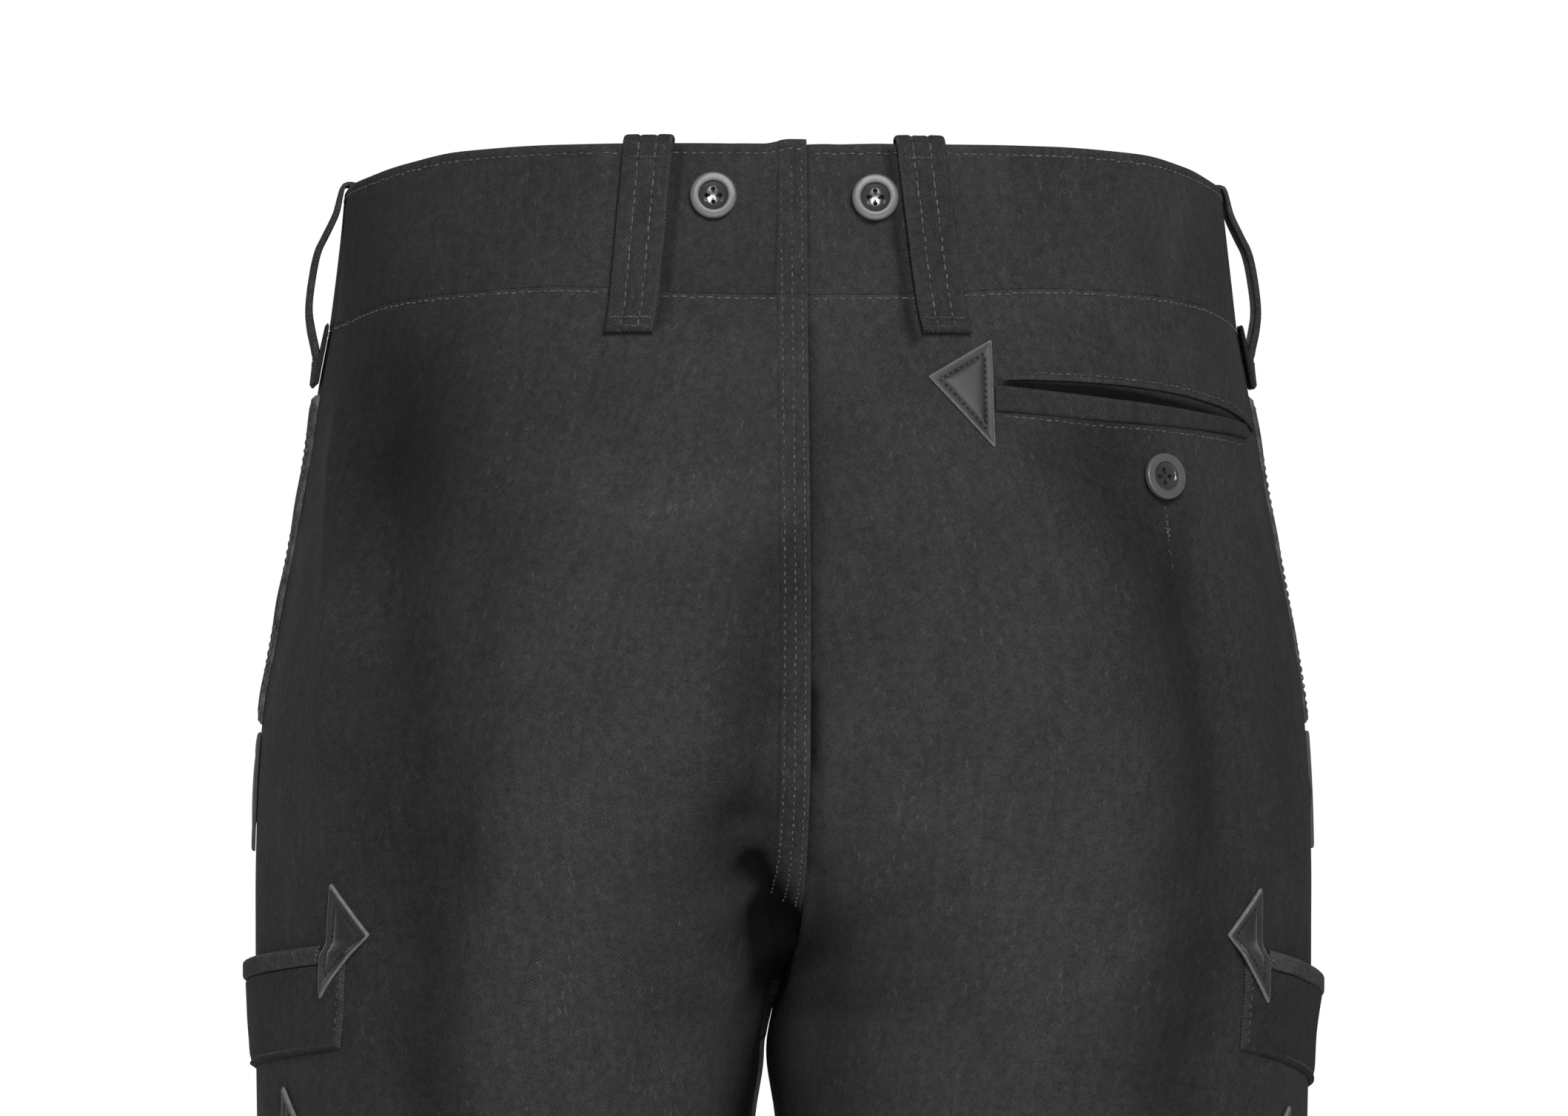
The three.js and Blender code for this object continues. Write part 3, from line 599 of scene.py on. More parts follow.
class Stitching:
    """Rows of stitches that become one piece."""

    def __init__(self, name):
        self.name = name
        self.points = []
        self.faces = []
        self.count = 0

    def add(self, points, faces):
        self.faces.append(faces + self.count)
        self.points.append(points)
        self.count += len(points)

    def row(self, path, normals, pitch=3.2, length=2.3, thick=THREAD):
        """Stitches along a line of points that lies on the cloth."""
        steps = np.linalg.norm(np.diff(path, axis=0), axis=1)
        walked = np.concatenate([[0], np.cumsum(steps)])
        count = int(walked[-1] // pitch)
        if count < 1:
            return
        start = (walked[-1] - count * pitch) / 2 + pitch / 2
        places = start + np.arange(count) * pitch

        def at(distance, values=path):
            return np.stack([np.interp(distance, walked, values[:, k]) for k in range(3)], -1)

        along = unit(at(places + length / 2) - at(places - length / 2))
        out = at(places, normals)
        out = unit(out - (out * along).sum(1, keepdims=True) * along)
        across = np.cross(along, out)
        wobble = 0.13 * np.sin(places * 2.7) + 0.12 * np.sin(places * 1.3 + 1)
        centre = at(places) + across * wobble[:, None]
        own_length = length * (1 + 0.16 * np.sin(places * 5.1) + 0.1 * np.sin(places * 1.9 + 2))
        rings = []
        for share, radius in BEAD_RINGS:
            r = thick * max(radius, 0.02)
            sink = thick * 0.9 * (2 * share) ** 2
            for angle in round_circle(BEAD_SIDES):
                side_way = across * (1.25 * r * np.cos(angle))
                out_way = out * (r * np.sin(angle) - sink)
                rings.append(centre + along * (share * own_length[:, None]) + side_way + out_way)
        per = len(rings)
        caps = [
            [0, 1, 2, 3],
            [0, 3, 4, 4],
            [per - 1, per - 2, per - 3, per - 4],
            [per - 1, per - 4, per - 5, per - 5],
        ]
        one = np.concatenate([grid_faces(len(BEAD_RINGS), BEAD_SIDES, ring=True, flip=True), caps])
        starts = np.arange(count) * per
        faces = (one[None] + starts[:, None, None]).reshape(-1, 4)
        self.add(np.stack(rings, 1).reshape(-1, 3), faces)

    def on_cloth(self, side, stations, heights, lift=0.12, samples=400, **looks):
        """A row through places on the cloth given by station and height."""
        share = np.linspace(0, 1, samples)
        knots = np.linspace(0, 1, len(stations))
        s = np.interp(share, knots, stations)
        z = np.interp(share, knots, heights)
        if not np.isscalar(lift):
            lift = np.interp(share, np.linspace(0, 1, len(lift)), lift)
        self.row(cloth(side, s, z, lift), normal(side, s, z), **looks)

    def finish(self, material):
        piece(self.name, np.concatenate(self.points), np.concatenate(self.faces), material)


# ---- Materials ----


class Shader:
    """A material's nodes, made from the shader back."""

    def __init__(self, name, roughness, specular, coat=0.0):
        self.material = bpy.data.materials.new(name)
        self.material.use_nodes = True
        self.tree = self.material.node_tree
        self.shader = self.tree.nodes["Principled BSDF"]
        self.shader.inputs["Roughness"].default_value = roughness
        self.shader.inputs["Specular IOR Level"].default_value = specular
        self.shader.inputs["Coat Weight"].default_value = coat
        self.shader.inputs["Coat Roughness"].default_value = 0.12

    def feed(self, socket, value):
        if isinstance(value, bpy.types.NodeSocket):
            self.tree.links.new(value, socket)
        else:
            socket.default_value = value

    def node(self, kind, output, settings=None, **inputs):
        node = self.tree.nodes.new(kind)
        for key, value in (settings or {}).items():
            setattr(node, key, value)
        for key, value in inputs.items():
            self.feed(node.inputs[key], value)
        return node.outputs[output]

    def work(self, kind, operation, output, values):
        """A node that works out something from values, which go to its sockets in order."""
        node = self.tree.nodes.new(kind)
        node.operation = operation
        for socket, value in zip(node.inputs, values):
            self.feed(socket, value)
        return node.outputs[output]

    def math(self, operation, *values):
        return self.work("ShaderNodeMath", operation, "Value", values)

    def times(self, a, b):
        return self.math("MULTIPLY", a, b)

    def line(self, value, slope, start):
        return self.math("MULTIPLY_ADD", value, slope, start)

    def dot(self, vector, direction):
        return self.work("ShaderNodeVectorMath", "DOT_PRODUCT", "Value", (vector, direction))

    def scaled(self, vector, scale):
        return self.work("ShaderNodeVectorMath", "MULTIPLY", "Vector", (vector, scale))

    def cut(self):
        return self.node("ShaderNodeUVMap", "UV", {"uv_map": "cut"})

    def place(self):
        return self.node("ShaderNodeTexCoord", "Object")

    # each point's wear and painted shade
    def wear_and_shade(self):
        return self.node("ShaderNodeAttribute", "Fac", {"attribute_name": "wear_and_shade"})

    def noise(self, vector, scale, detail, roughness=0.5):
        return self.node("ShaderNodeTexNoise", "Fac", None, Vector=vector, Scale=scale,
                         Detail=detail, Roughness=roughness)

    def bent(self, vector, amount):
        """A place moved about a little, so that what is drawn on it is uneven."""
        noise = self.node("ShaderNodeTexNoise", "Color", None, Vector=vector, Scale=0.35, Detail=2.0)
        values = (noise, (6 * amount, 6 * amount, 0), vector)
        return self.work("ShaderNodeVectorMath", "MULTIPLY_ADD", "Vector", values)

    def around(self, value, amount):
        """A 0 to 1 value made into 1 with that much either way."""
        return self.line(value, 2 * amount, 1 - amount)

    def colour(self, brightness, tint=(1.0, 1.0, 1.0)):
        out = self.node("ShaderNodeVectorMath", "Vector", {"operation": "SCALE"}, Vector=tint,
                        Scale=brightness)
        self.feed(self.shader.inputs["Base Color"], out)

    def rough(self, value):
        self.feed(self.shader.inputs["Roughness"], value)

    def bump(self, height, distance, strength):
        out = self.node("ShaderNodeBump", "Normal", None, Height=height, Distance=distance,
                        Strength=strength)
        self.feed(self.shader.inputs["Normal"], out)


def twill(name, degrees, tone, pitch=0.95, ribs=0.5):
    """Heavy twill: diagonal ribs of uneven yarn, soft clouds of wear, fuzz and lint, and each point's
    wear and painted shade.
    """
    s = Shader(name, roughness=0.92, specular=0.12)
    cut = s.cut()
    place = s.place()
    angle = np.radians(degrees)
    turn = 2 * np.pi / pitch
    over = s.dot(cut, (-np.sin(angle) * turn, np.cos(angle) * turn, 0))
    waver = s.noise(s.scaled(cut, (0.09, 0.09, 1)), 1.0, 2.0)
    phase = s.line(waver, 9.0, over)
    rib = s.line(s.math("SINE", phase), 0.5, 0.5)
    along = s.dot(cut, (np.cos(angle), np.sin(angle), 0))
    yarn_place = s.node("ShaderNodeCombineXYZ", "Vector", None,
                        X=s.times(along, 1.1), Y=s.times(over, 0.32))
    yarn = s.noise(yarn_place, 1.0, 2.0, 0.6)
    fuzz = s.noise(place, 1300.0, 3.0, 0.7)
    nap = s.noise(place, 330.0, 3.0, 0.65)
    cloud = s.noise(place, 22.0, 4.0, 0.6)
    streak = s.noise(s.scaled(cut, (0.30, 0.035, 1)), 1.0, 4.0, 0.65)
    patch = s.noise(s.scaled(cut, (0.035, 0.022, 1)), 1.0, 2.0)
    fleck = s.node("ShaderNodeTexVoronoi", "Distance", None,
                   Vector=s.scaled(s.bent(cut, 0.5), (0.42, 0.13, 1)), Scale=1.0)
    lint = s.math("LESS_THAN", fleck, s.line(patch, 0.60, -0.17))
    value = s.times(tone, s.around(rib, 0.22 * ribs))
    for texture, amount in ((yarn, 0.50), (fuzz, 0.75), (nap, 0.50), (cloud, 0.34), (streak, 0.28)):
        value = s.times(value, s.around(texture, amount))
    value = s.line(s.times(lint, fuzz), 0.85 * tone, value)
    # each point's attribute scales the tone: paler for worn edges, faded cloth and painted highlight,
    # darker for painted shade
    shade = s.math("MAXIMUM", s.line(s.wear_and_shade(), 0.35, 1.0), 0.12)
    value = s.times(value, shade)
    s.colour(value, (1.0, 1.0, 1.03))
    height = s.times(rib, s.around(yarn, 0.9))
    height = s.line(fuzz, 1.3, height)
    height = s.line(nap, 1.6, height)
    s.bump(height, 0.00028 * ribs, 1.0)
    return s.material


def leather_material():
    """Smooth dark leather with fine grain and a painted sheen. Its point attribute marks the pale cut
    edge and, where given, a painted highlight in the middle of the face.
    """
    s = Shader("leather", roughness=0.5, specular=0.4)
    place = s.place()
    grain = s.node("ShaderNodeTexVoronoi", "Distance", None, Vector=place, Scale=1500.0)
    cloud = s.noise(place, 160.0, 3.0)
    # painted sheen: a slow noise makes the face lighter and darker across each corner
    painted_sheen = s.noise(place, 42.0, 1.0)
    scuff = s.noise(place, 700.0, 3.0, 0.7)
    face = s.times(0.040, s.times(s.around(cloud, 0.30), s.around(painted_sheen, 1.1)))
    raw = s.times(0.19, s.around(scuff, 0.70))
    edge = s.wear_and_shade()
    keep = s.math("SUBTRACT", 1.0, edge)
    value = s.math("ADD", s.times(face, keep), s.times(raw, edge))
    s.colour(value)
    rough = s.line(edge, 0.30, s.line(scuff, 0.16, 0.42))
    s.rough(rough)
    s.bump(grain, 0.00007, 0.5)
    return s.material


def button_material():
    """Glossy moulded button: a scratched lighter rim (wear 1) round a dark dish (wear 0)."""
    s = Shader("button", roughness=0.2, specular=0.5, coat=0.2)
    place = s.place()
    cloud = s.noise(place, 420.0, 3.0)
    scratch = s.noise(s.scaled(place, (1.0, 1.0, 6.0)), 900.0, 3.0, 0.6)
    rim = s.wear_and_shade()
    tone = s.line(rim, 0.055, 0.050)
    s.colour(s.times(tone, s.around(cloud, 0.14)), (1.0, 1.0, 1.02))
    rough = s.line(rim, 0.38, s.line(scratch, 0.12, 0.08))
    s.rough(rough)
    s.bump(scratch, 0.00002, 0.4)
    return s.material


def thread_material(name, tone):
    """Twisted sewing thread."""
    s = Shader(name, roughness=0.7, specular=0.3)
    place = s.place()
    twist = s.noise(place, 2600.0, 1.0)
    cloud = s.noise(place, 170.0, 3.0, 0.6)
    value = s.times(s.times(tone, s.around(twist, 0.9)), s.around(cloud, 1.2))
    s.colour(value, (1.0, 1.0, 1.02))
    s.bump(twist, 0.00008, 0.8)
    return s.material


def floor_material():
    """A pale floor, which looks evenly lit to the camera and throws little light back up."""
    s = Shader("studio_floor", roughness=0.85, specular=0.2)
    cloud = s.noise(s.place(), 1.5, 2.0)
    s.colour(s.times(0.55, s.around(cloud, 0.01)))
    s.shader.inputs["Emission Color"].default_value = (1, 1, 1, 1)
    seen = s.node("ShaderNodeLightPath", "Is Camera Ray")
    s.feed(s.shader.inputs["Emission Strength"], s.times(seen, 0.5))
    return s.material


# ---- Panels ----


def edge_roll(distance, depth=ROLL, width=ROLL_WIDTH):
    """How far a sewn edge turns in at a distance from it."""
    return -depth * bell(distance, width)


def seam_tuck(distance, on_top):
    """How far cloth dips at the centre seam. The side that lies on top dips less."""
    return 0.45 * bell(distance, 0.9) * (1.0 if on_top else 2.2)


def seam_ridge(rise, width, distance):
    """The step up of a felled or faced edge."""
    return rise * smoothstep(width + 0.5, width - 0.7, distance)


def stitch_channel(distance, places, depth=0.4, width=0.8):
    """How far rows of stitches draw the cloth in at a distance from an edge."""
    return -sum(depth * bell(distance - p, width) for p in places)


SIDE_COLUMNS = np.array([0, 0.25, 0.6, 1.2, 1.9, 3.0])
FELL_ROWS = (1.9, 5.5, 9.3)
FLY_ROWS = (30.5, 36.0)

# The panels' grids, behind (1) and in front (-1)
STRIP_STEP = {1: -0.8, -1: -1.6}    # between columns of the strip by the centre seam
SEAT_STEP = {1: 2.0, -1: 3.0}       # between rows over the seat
LEG_STEP = 9.0                      # between rows down the leg
COLUMNS = {1: (74, 38), -1: (54, 26)}   # in the outer and in the inner quarter

SEAM_ROW = 1.5          # the waist seam's stitches lie this far below it
HEM_ROW = 22            # the hem's stitches lie this far above its edge


def levels(step):
    """Heights of a panel's rows, before the top ones are bent to the waist seam."""
    top = SEAM_LEVEL - np.array([0, 0.35, 0.8, 1.4, 2.1, 3.0, 4.2])
    upper = np.arange(-60.5, -345, -step)
    middle = np.arange(-348, -425, -2 * step)
    lower = np.arange(-426, HEM + HEM_HEIGHT + 3, -LEG_STEP)
    hem = HEM + np.array([26, 24.8, 24, 23.2, HEM_ROW, 20, 16, 12, 8, 4, 2, 1, 0.4, 0])
    return np.concatenate([top, upper, middle, lower, hem])


def panel_grid(side, facing, width, level):
    """Stations of a panel's points row by row, with how far each is along the cloth from the
    centre seam and from the side seam. The columns are close together by the seams and by the
    edge of the strip along the centre seam, which has this width."""
    outer_count, inner_count = COLUMNS[facing]
    samples, walked = arcs(side, facing, level)
    widths = walked[:, -1:]
    near_side = row_interp(widths - SIDE_COLUMNS, walked, samples)
    full = near_side[:, -1:] + (90 - near_side[:, -1:]) * np.linspace(0, 1, outer_count)[1:]
    edge = np.concatenate([
        width + np.array([2.4, 1.3, 0.6, 0.1, -0.3, -0.7, -1.2]),
        np.arange(width - 2.0, 2.6, STRIP_STEP[facing]),
        [2.4, 1.9, 1.5, 1.1, 0.6, 0.25, 0],
    ])
    edge_station = row_interp(np.tile(edge, (len(level), 1)), walked, samples)
    edge_way = way_in(edge_station, level[:, None])
    held = int(np.argmax(level < FELL_END))
    edge_way[held:] = edge_way[held]
    low = smoothstep(FORK - 6, FORK - 80, level)[:, None]
    edge_station = station_way_in(edge_way, level[:, None])
    edge_at = row_interp(-edge_station, -samples[None], walked)
    edge_at = edge_at + (edge - edge_at) * low
    edge_station = row_interp(edge_at, walked, samples)
    start = way_in(edge_station[:, :1], level[:, None])
    share = np.linspace(0, 1, inner_count + 1)[1:-1]
    slowing = 0.5 * share + 0.5 * np.sin(share * np.pi / 2)
    between = station_way_in(start * slowing, level[:, None])
    bare = np.concatenate([near_side, full, between, edge_station], 1)
    from_centre = row_interp(-bare, -samples[None], walked)
    return facing * bare, from_centre, widths - from_centre


def panel(name, side, facing, raised, material):
    """One back or front panel, from the waist seam to the hem.

    raised is (width, rise, end, stitch rows) of the faced edge along the centre seam.
    """
    width, rise, end, rows = raised
    level = levels(SEAT_STEP[facing])
    station, from_centre, from_side = panel_grid(side, facing, width, level)
    shift = (waist_seam(station) - SEAM_LEVEL) * smoothstep(-112, -56, level)[:, None]
    z = level[:, None] + shift
    below_seam = waist_seam(station) - z
    above_hem = z - HEM
    upright = smoothstep(end - 6, end + 6, z)
    ridge = (seam_ridge(rise, width, from_centre) + stitch_channel(from_centre, rows)) * upright
    lift = ridge - seam_tuck(from_centre, rise) + edge_roll(from_side)
    lift = lift + edge_roll(below_seam, *WAIST_ROLL) - 0.35 * bell(below_seam - SEAM_ROW, 0.8)
    pucker = 0.22 * np.sin(from_centre / 4.4 + side) * np.exp(-below_seam / 9)
    pucker = pucker + 0.16 * np.sin(z / 3.1) * np.exp(-np.abs(from_centre - width) / 6) * upright
    hem = -0.5 * bell(above_hem - HEM_ROW, 1.1) + 0.3 * smoothstep(24, 21, above_hem)
    hem = hem - 1.0 * bell(above_hem, 0.8)
    lift = lift + pucker + hem
    thick = np.where(z < HEM + HEM_HEIGHT, HEM_CLOTH, CLOTH)
    inside = -thick + 1.2 * bell(above_hem, 0.8)
    outer = own_side(cloth(side, station, z, lift), side, facing, z, from_centre)
    inner = own_side(cloth(side, station, z, inside), side, facing, z, from_centre)
    cut = np.stack([side * facing * from_side, z], -1)
    wear_and_shade = 0.6 * bell(from_centre, 1.0) + 0.35 * bell(from_centre - width, 1.2)
    wear_and_shade = wear_and_shade * (rise > 0) * upright
    wear_and_shade = wear_and_shade + 0.3 * bell(below_seam, 2.2) + 0.5 * bell(above_hem, 2)
    cloth_shell(name, outer, inner, cut, wear_and_shade + shade_and_fade(side, station, z), material)


def own_side(points, side, facing, z, from_centre):
    """Keeps points on their own side of the centre plane and of the side seam's plane, and the
    edge of the centre seam at the centre plane down to the fork."""
    lean = lookup(BETWEEN, z, 2)
    most = from_centre + CLEAR + 60 * smoothstep(FORK + 2, FORK - 6, z)
    points[..., 0] = lean + side * np.clip(side * (points[..., 0] - lean), CLEAR, most)
    points[..., 1] = facing * np.maximum(facing * points[..., 1], CLEAR)
    return points


# ---- Waistband ----

BAND_LEVEL = -30.0
TOP_ROW = 3.7           # the top stitches lie this far below the edge
CREST = 1.7             # the left band stands this much higher at the centre back
BAND_DROP = np.array([0, 0.15, 0.45, 0.9, 1.6, 2.4, 3.1, TOP_ROW, 4.3, 5.2, 7, 9.5, 12.5, 16, 20,
                      24, 28, 32, 36, 40, 43, 46, 48.5, 50.3, 51.4, 52.2, 52.8, 53.1, 53.3])


def crest(side, distance):
    """The left band's top edge rises over the felled seam."""
    return CREST * smoothstep(17, 7, distance) * (side > 0)


def band_columns(side):
    """Stations round a half waistband, with the distance of each from the centre back, and how
    far past the centre front it goes."""
    level = np.array([BAND_LEVEL])
    near = [0, 0.25, 0.6, 1.1, 1.5, 1.9, 2.4, 3.1, 4, 4.8, 5.5, 6.2, 7, 7.8, 8.6, 9.3, 10, 10.6,
            11.0, 11.5, 12.3]
    samples, back = arcs(side, 1, level)
    _, front = arcs(side, -1, level)
    back_at = np.concatenate([near, np.linspace(14, back[0, -1], 97)])
    front_at = np.concatenate([np.linspace(front[0, -1], 2, 89)[1:], [1.0, 0.4, 0.0]])
    stations = np.concatenate([np.interp(back_at, back[0], samples),
                               -np.interp(front_at, front[0], samples)])
    distance = np.concatenate([back_at, back[0, -1] + front[0, -1] - front_at])
    past = np.zeros(len(stations))
    if side > 0:
        lap = np.concatenate([np.arange(2, LAP_LENGTH - 1, 2.2), LAP_LENGTH - np.array([1, .5, .2, 0])])
        stations = np.concatenate([stations, np.full(len(lap), -180.0)])
        distance = np.concatenate([distance, distance[-1] + lap])
        past = np.concatenate([past, lap])
    return stations, distance, past


def band_points(side, station, z, lift, past):
    points = cloth(side, station, z, lift)
    points[..., 0] = side * np.maximum(side * points[..., 0], CLEAR) - side * past
    return points


def band_lap(side, station):
    """How far the left half is lifted to lie over the right one in front."""
    return LAP_RISE * (1 - smoothstep(-150, -75, station)) * (side > 0)


def waistband(side, material):
    """Half of the waistband, folded over at its top edge. The left half ends in the lap."""
    station, distance, past = band_columns(side)
    share = BAND_DROP / BAND_DROP[-1]
    top = waist_top(station) + crest(side, distance)
    bottom = waist_seam(station) + 0.1
    z = top + (bottom - top) * share[:, None]
    fall = np.broadcast_to(BAND_DROP[:, None], z.shape)
    felled = seam_ridge(FELL_RISE, FELL_WIDTH, distance) * (side > 0)
    channel = stitch_channel(distance, FELL_ROWS) * (side > 0) * smoothstep(5, 9, fall)
    round_top = 1.3 * (1 - np.sqrt(np.clip(1 - ((1.6 - fall) / 1.6) ** 2, 0, 1))) * (fall < 1.6)
    lift = felled + channel - round_top + edge_roll(BAND_DROP[-1] - fall, *WAIST_ROLL)
    lift = lift - 0.28 * bell(fall - TOP_ROW, 0.8) - seam_tuck(distance, side > 0)
    lift = lift + 0.16 * np.sin(distance / 5.2) * bell(fall - TOP_ROW, 6)
    lift = lift + 0.35 * np.sin(distance / 27 + side) * np.sin(np.pi * share[:, None])
    end_roll = 1.2 * bell(LAP_LENGTH - past, 0.5) * (past > 0)
    lap = band_lap(side, station)
    grid = np.broadcast_to(station, z.shape)
    outer = band_points(side, grid, z, lift + lap - end_roll, past)
    inner = band_points(side, grid, z, lap - BAND_CLOTH + round_top, past)
    cut = np.stack([np.broadcast_to(-side * distance, z.shape), z], -1)
    wear_and_shade = 0.7 * bell(fall, 1.6) + 0.5 * bell(distance, 1.0) * (side > 0) + shade_and_fade(side, grid, z)
    cloth_shell(f"waistband_{SIDE_NAMES[side]}", outer, inner, cut, wear_and_shade, material)


# ---- Belt loops ----

# name, side, shape, station at the top and at the bottom
LOOPS = [
    ("belt_loop_back_left", 1, "close", 78.4, 78.6),
    ("belt_loop_back_right", -1, "close", 85.2, 84.7),
    ("belt_loop_side_left", 1, "bulged", 1, 1),
    ("belt_loop_side_right", -1, "bulged", 1, 1),
    ("belt_loop_front_left", 1, "close", -57, -57),
    ("belt_loop_front_right", -1, "close", -57, -57),
]

# A loop's middle line: lift, drop below the top edge, thickness
LOOP_OVER_EDGE = [
    (-5.2, 10, 1.6), (-5.2, 2, 1.6), (-4.8, -1.3, 1.6), (-3.1, -2.2, 1.6), (-0.4, -2.1, 1.6),
    (1.0, -0.9, 1.6),
]
LOOP_SHAPES = {
    "close": [
        (1.5, 2, 1.6), (1.6, 15, 1.6), (2.7, 24, 1.6), (3.0, 36, 1.6), (2.7, 48, 1.6),
        (2.0, 58, 2.0), (2.1, 62, 2.3), (2.5, 65.5, 3.2), (2.5, 69, 3.2),
    ],
    "bulged": [
        (1.7, 3, 1.8), (2.6, 9, 2.2), (5.4, 17, 2.4), (7.8, 24, 2.4), (8.7, 34, 2.4),
        (8.5, 45, 2.4), (6.6, 53, 2.8), (3.4, 61, 2.8), (2.4, 66, 2.6), (2.0, 74, 2.2),
    ],
}
LOOP_FOLD = 63.2        # a loop's lower end is turned under below this drop
LOOP_ROW = 3.1          # a loop's stitch lines lie this far from its middle
LOOP_ACROSS = np.array([0, 1.2, 2.1, 2.6, LOOP_ROW, 3.6, 4.1, 5.2, 6.5, 7.6, 8.4, 8.8,
                        LOOP_WIDTH / 2])
LOOP_CROSS_ROWS = {"close": (5.0, 63.2, 66.8), "bulged": (6.0, 64.5)}
LOOP_POINTS = 84
OVER_BAND = 0.5         # a loop's line is on the band's outside from this lift on


def smooth_line(rows, count):
    """Points on a smooth curve through rows, about evenly spaced."""
    p = np.array(rows, float)
    q = np.concatenate([[2 * p[0] - p[1]], p, [2 * p[-1] - p[-2]]])
    fine = []
    for i in range(len(p) - 1):
        t = np.linspace(0, 1, 24, endpoint=False)[:, None]
        a, b, c, d = q[i], q[i + 1], q[i + 2], q[i + 3]
        fine.append(0.5 * (2 * b + (c - a) * t + (2 * a - 5 * b + 4 * c - d) * t**2
                           + (3 * b - 3 * c + d - a) * t**3))
    fine = np.concatenate(fine + [p[-1:]])
    walked = np.concatenate([[0], np.cumsum(np.linalg.norm(np.diff(fine[:, :2], axis=0), axis=1))])
    at = np.linspace(0, walked[-1], count)
    return np.stack([np.interp(at, walked, fine[:, k]) for k in range(fine.shape[1])], -1), at


def loop_surface(loop, line, across, height):
    """Points of a loop at an index on its line, a distance across and a height over its middle."""
    _, side, _, station0, station1 = loop
    run = unit(np.gradient(line[:, :2], axis=0))
    share = np.clip(line[:, 1] / line[-1, 1], 0, 1)
    station = (station0 + (station1 - station0) * share)[:, None] + 0 * height
    lift = line[:, None, 0] + run[:, None, 1] * height
    z = (waist_top(station0) - line[:, 1])[:, None] + run[:, None, 0] * height
    way = body(side, station + 1, z) - body(side, station - 1, z)
    way[..., 2] = 0
    return cloth(side, station, z, lift) + unit(way) * across[..., None]


def loop_normals(loop, line):
    """The way out of a loop at each point of its line."""
    flat = np.zeros((len(line), 1))
    return unit(loop_surface(loop, line, flat, flat + 1) - loop_surface(loop, line, flat, flat))[:, 0]


def loop_ends(walked):
    """Shares of its thickness that a loop has along its line, less at both ends."""
    return np.clip(np.minimum(walked, walked[-1] - walked) / 0.9, 0.05, 1)[:, None] ** 0.5


def loop_rings(loop, line, across, upper, lower):
    """Rings round a loop, and how far across each of their points is."""
    wide = np.concatenate([across, across[::-1][1:-1]])
    height = np.concatenate([upper, lower[:, ::-1][:, 1:-1]], 1)
    wide = np.broadcast_to(wide, height.shape)
    return loop_surface(loop, line, wide, height), wide


def belt_loop(loop, material, stitching):
    """A loop that is folded over the top edge, with its rows of stitches."""
    name, _, shape, _, _ = loop
    line, walked = smooth_line(LOOP_OVER_EDGE + LOOP_SHAPES[shape], LOOP_POINTS)
    across = np.concatenate([-LOOP_ACROSS[:0:-1], LOOP_ACROSS])
    out = np.abs(across)
    half = line[:, 2:3] / 2
    rounded = np.sqrt(np.clip(1 - (out / LOOP_ACROSS[-1]) ** 14, 0, 1))
    puff = 0.35 * (out > LOOP_ROW + 0.4) * (out < 8.5)
    channel = stitch_channel(out, [LOOP_ROW], 0.45, 0.6)
    ends = loop_ends(walked)
    fold = -0.5 * bell(line[:, 1:2] - LOOP_FOLD, 0.9) * (line[:, :1] > OVER_BAND)
    pucker = 0.09 * np.sin(walked / 1.1)[:, None] * bell(out - LOOP_ROW, 2)
    upper = (half + channel + puff * 0.5 + fold + pucker) * rounded * ends
    rings, wide = loop_rings(loop, line, across, upper, -half * rounded * ends)
    points, faces = tube(rings)
    flat = np.stack([wide, -np.broadcast_to(walked[:, None], wide.shape)], -1).reshape(-1, 2)
    cut = np.concatenate([flat, flat[:1], flat[-1:]])
    wear_and_shade = 0.75 * bell(LOOP_ACROSS[-1] - np.abs(wide), 0.9)
    wear_and_shade = np.concatenate([wear_and_shade.ravel(), [0, 0]])
    piece("cloth_" + name, points, faces, material, [name], cut, wear_and_shade)
    on_top = line[:, 2] / 2 - 0.15
    normals = loop_normals(loop, line)
    start = int(np.argmax(line[:, 0] >= OVER_BAND))
    for place in (-LOOP_ROW, LOOP_ROW):
        row = loop_surface(loop, line, np.full((LOOP_POINTS, 1), place), on_top[:, None])[start:-1, 0]
        stitching.row(row, normals[start:-1], pitch=3.4, length=2.4)
    places = np.tile(np.linspace(-8, 8, 40), (3, 1))
    for drop in LOOP_CROSS_ROWS[shape]:
        index = int(np.argmin(np.abs(line[:, 1] - drop) + 50 * (line[:, 0] < OVER_BAND)))
        near = line[index - 1:index + 2]
        cross = loop_surface(loop, near, places, np.full(places.shape, on_top[index] + 0.12))[1]
        stitching.row(cross, np.tile(normals[index], (len(cross), 1)), pitch=1.15, length=1.0)


TURN_IN = [(1.1, 50, 1.4), (1.2, 56, 1.8), (1.3, 64, 2.0), (1.3, 73, 2.0)]


def loop_turn_in(loop, material):
    """The lower end of a side loop, turned up under it and sewn down on the seam, painted darker all
    over as shade under the loop.
    """
    line, walked = smooth_line(TURN_IN, 30)
    across = np.array([-7.8, -7.6, -6, -3, 0, 3, 6, 7.6, 7.8])
    half = line[:, 2:3] / 2 * np.sqrt(np.clip(1 - (across / 7.9) ** 8, 0, 1)) * loop_ends(walked)
    rings, _ = loop_rings(loop, line, 5.5 - across, half, -half)
    points, faces = tube(rings)
    # painted shade under the loop, over the whole end
    wear_and_shade = np.full(len(points), -0.75)
    piece(f"cloth_side_loop_end_{SIDE_NAMES[loop[1]]}", points, faces, material, wear_and_shade=wear_and_shade)


# ---- Buttons ----

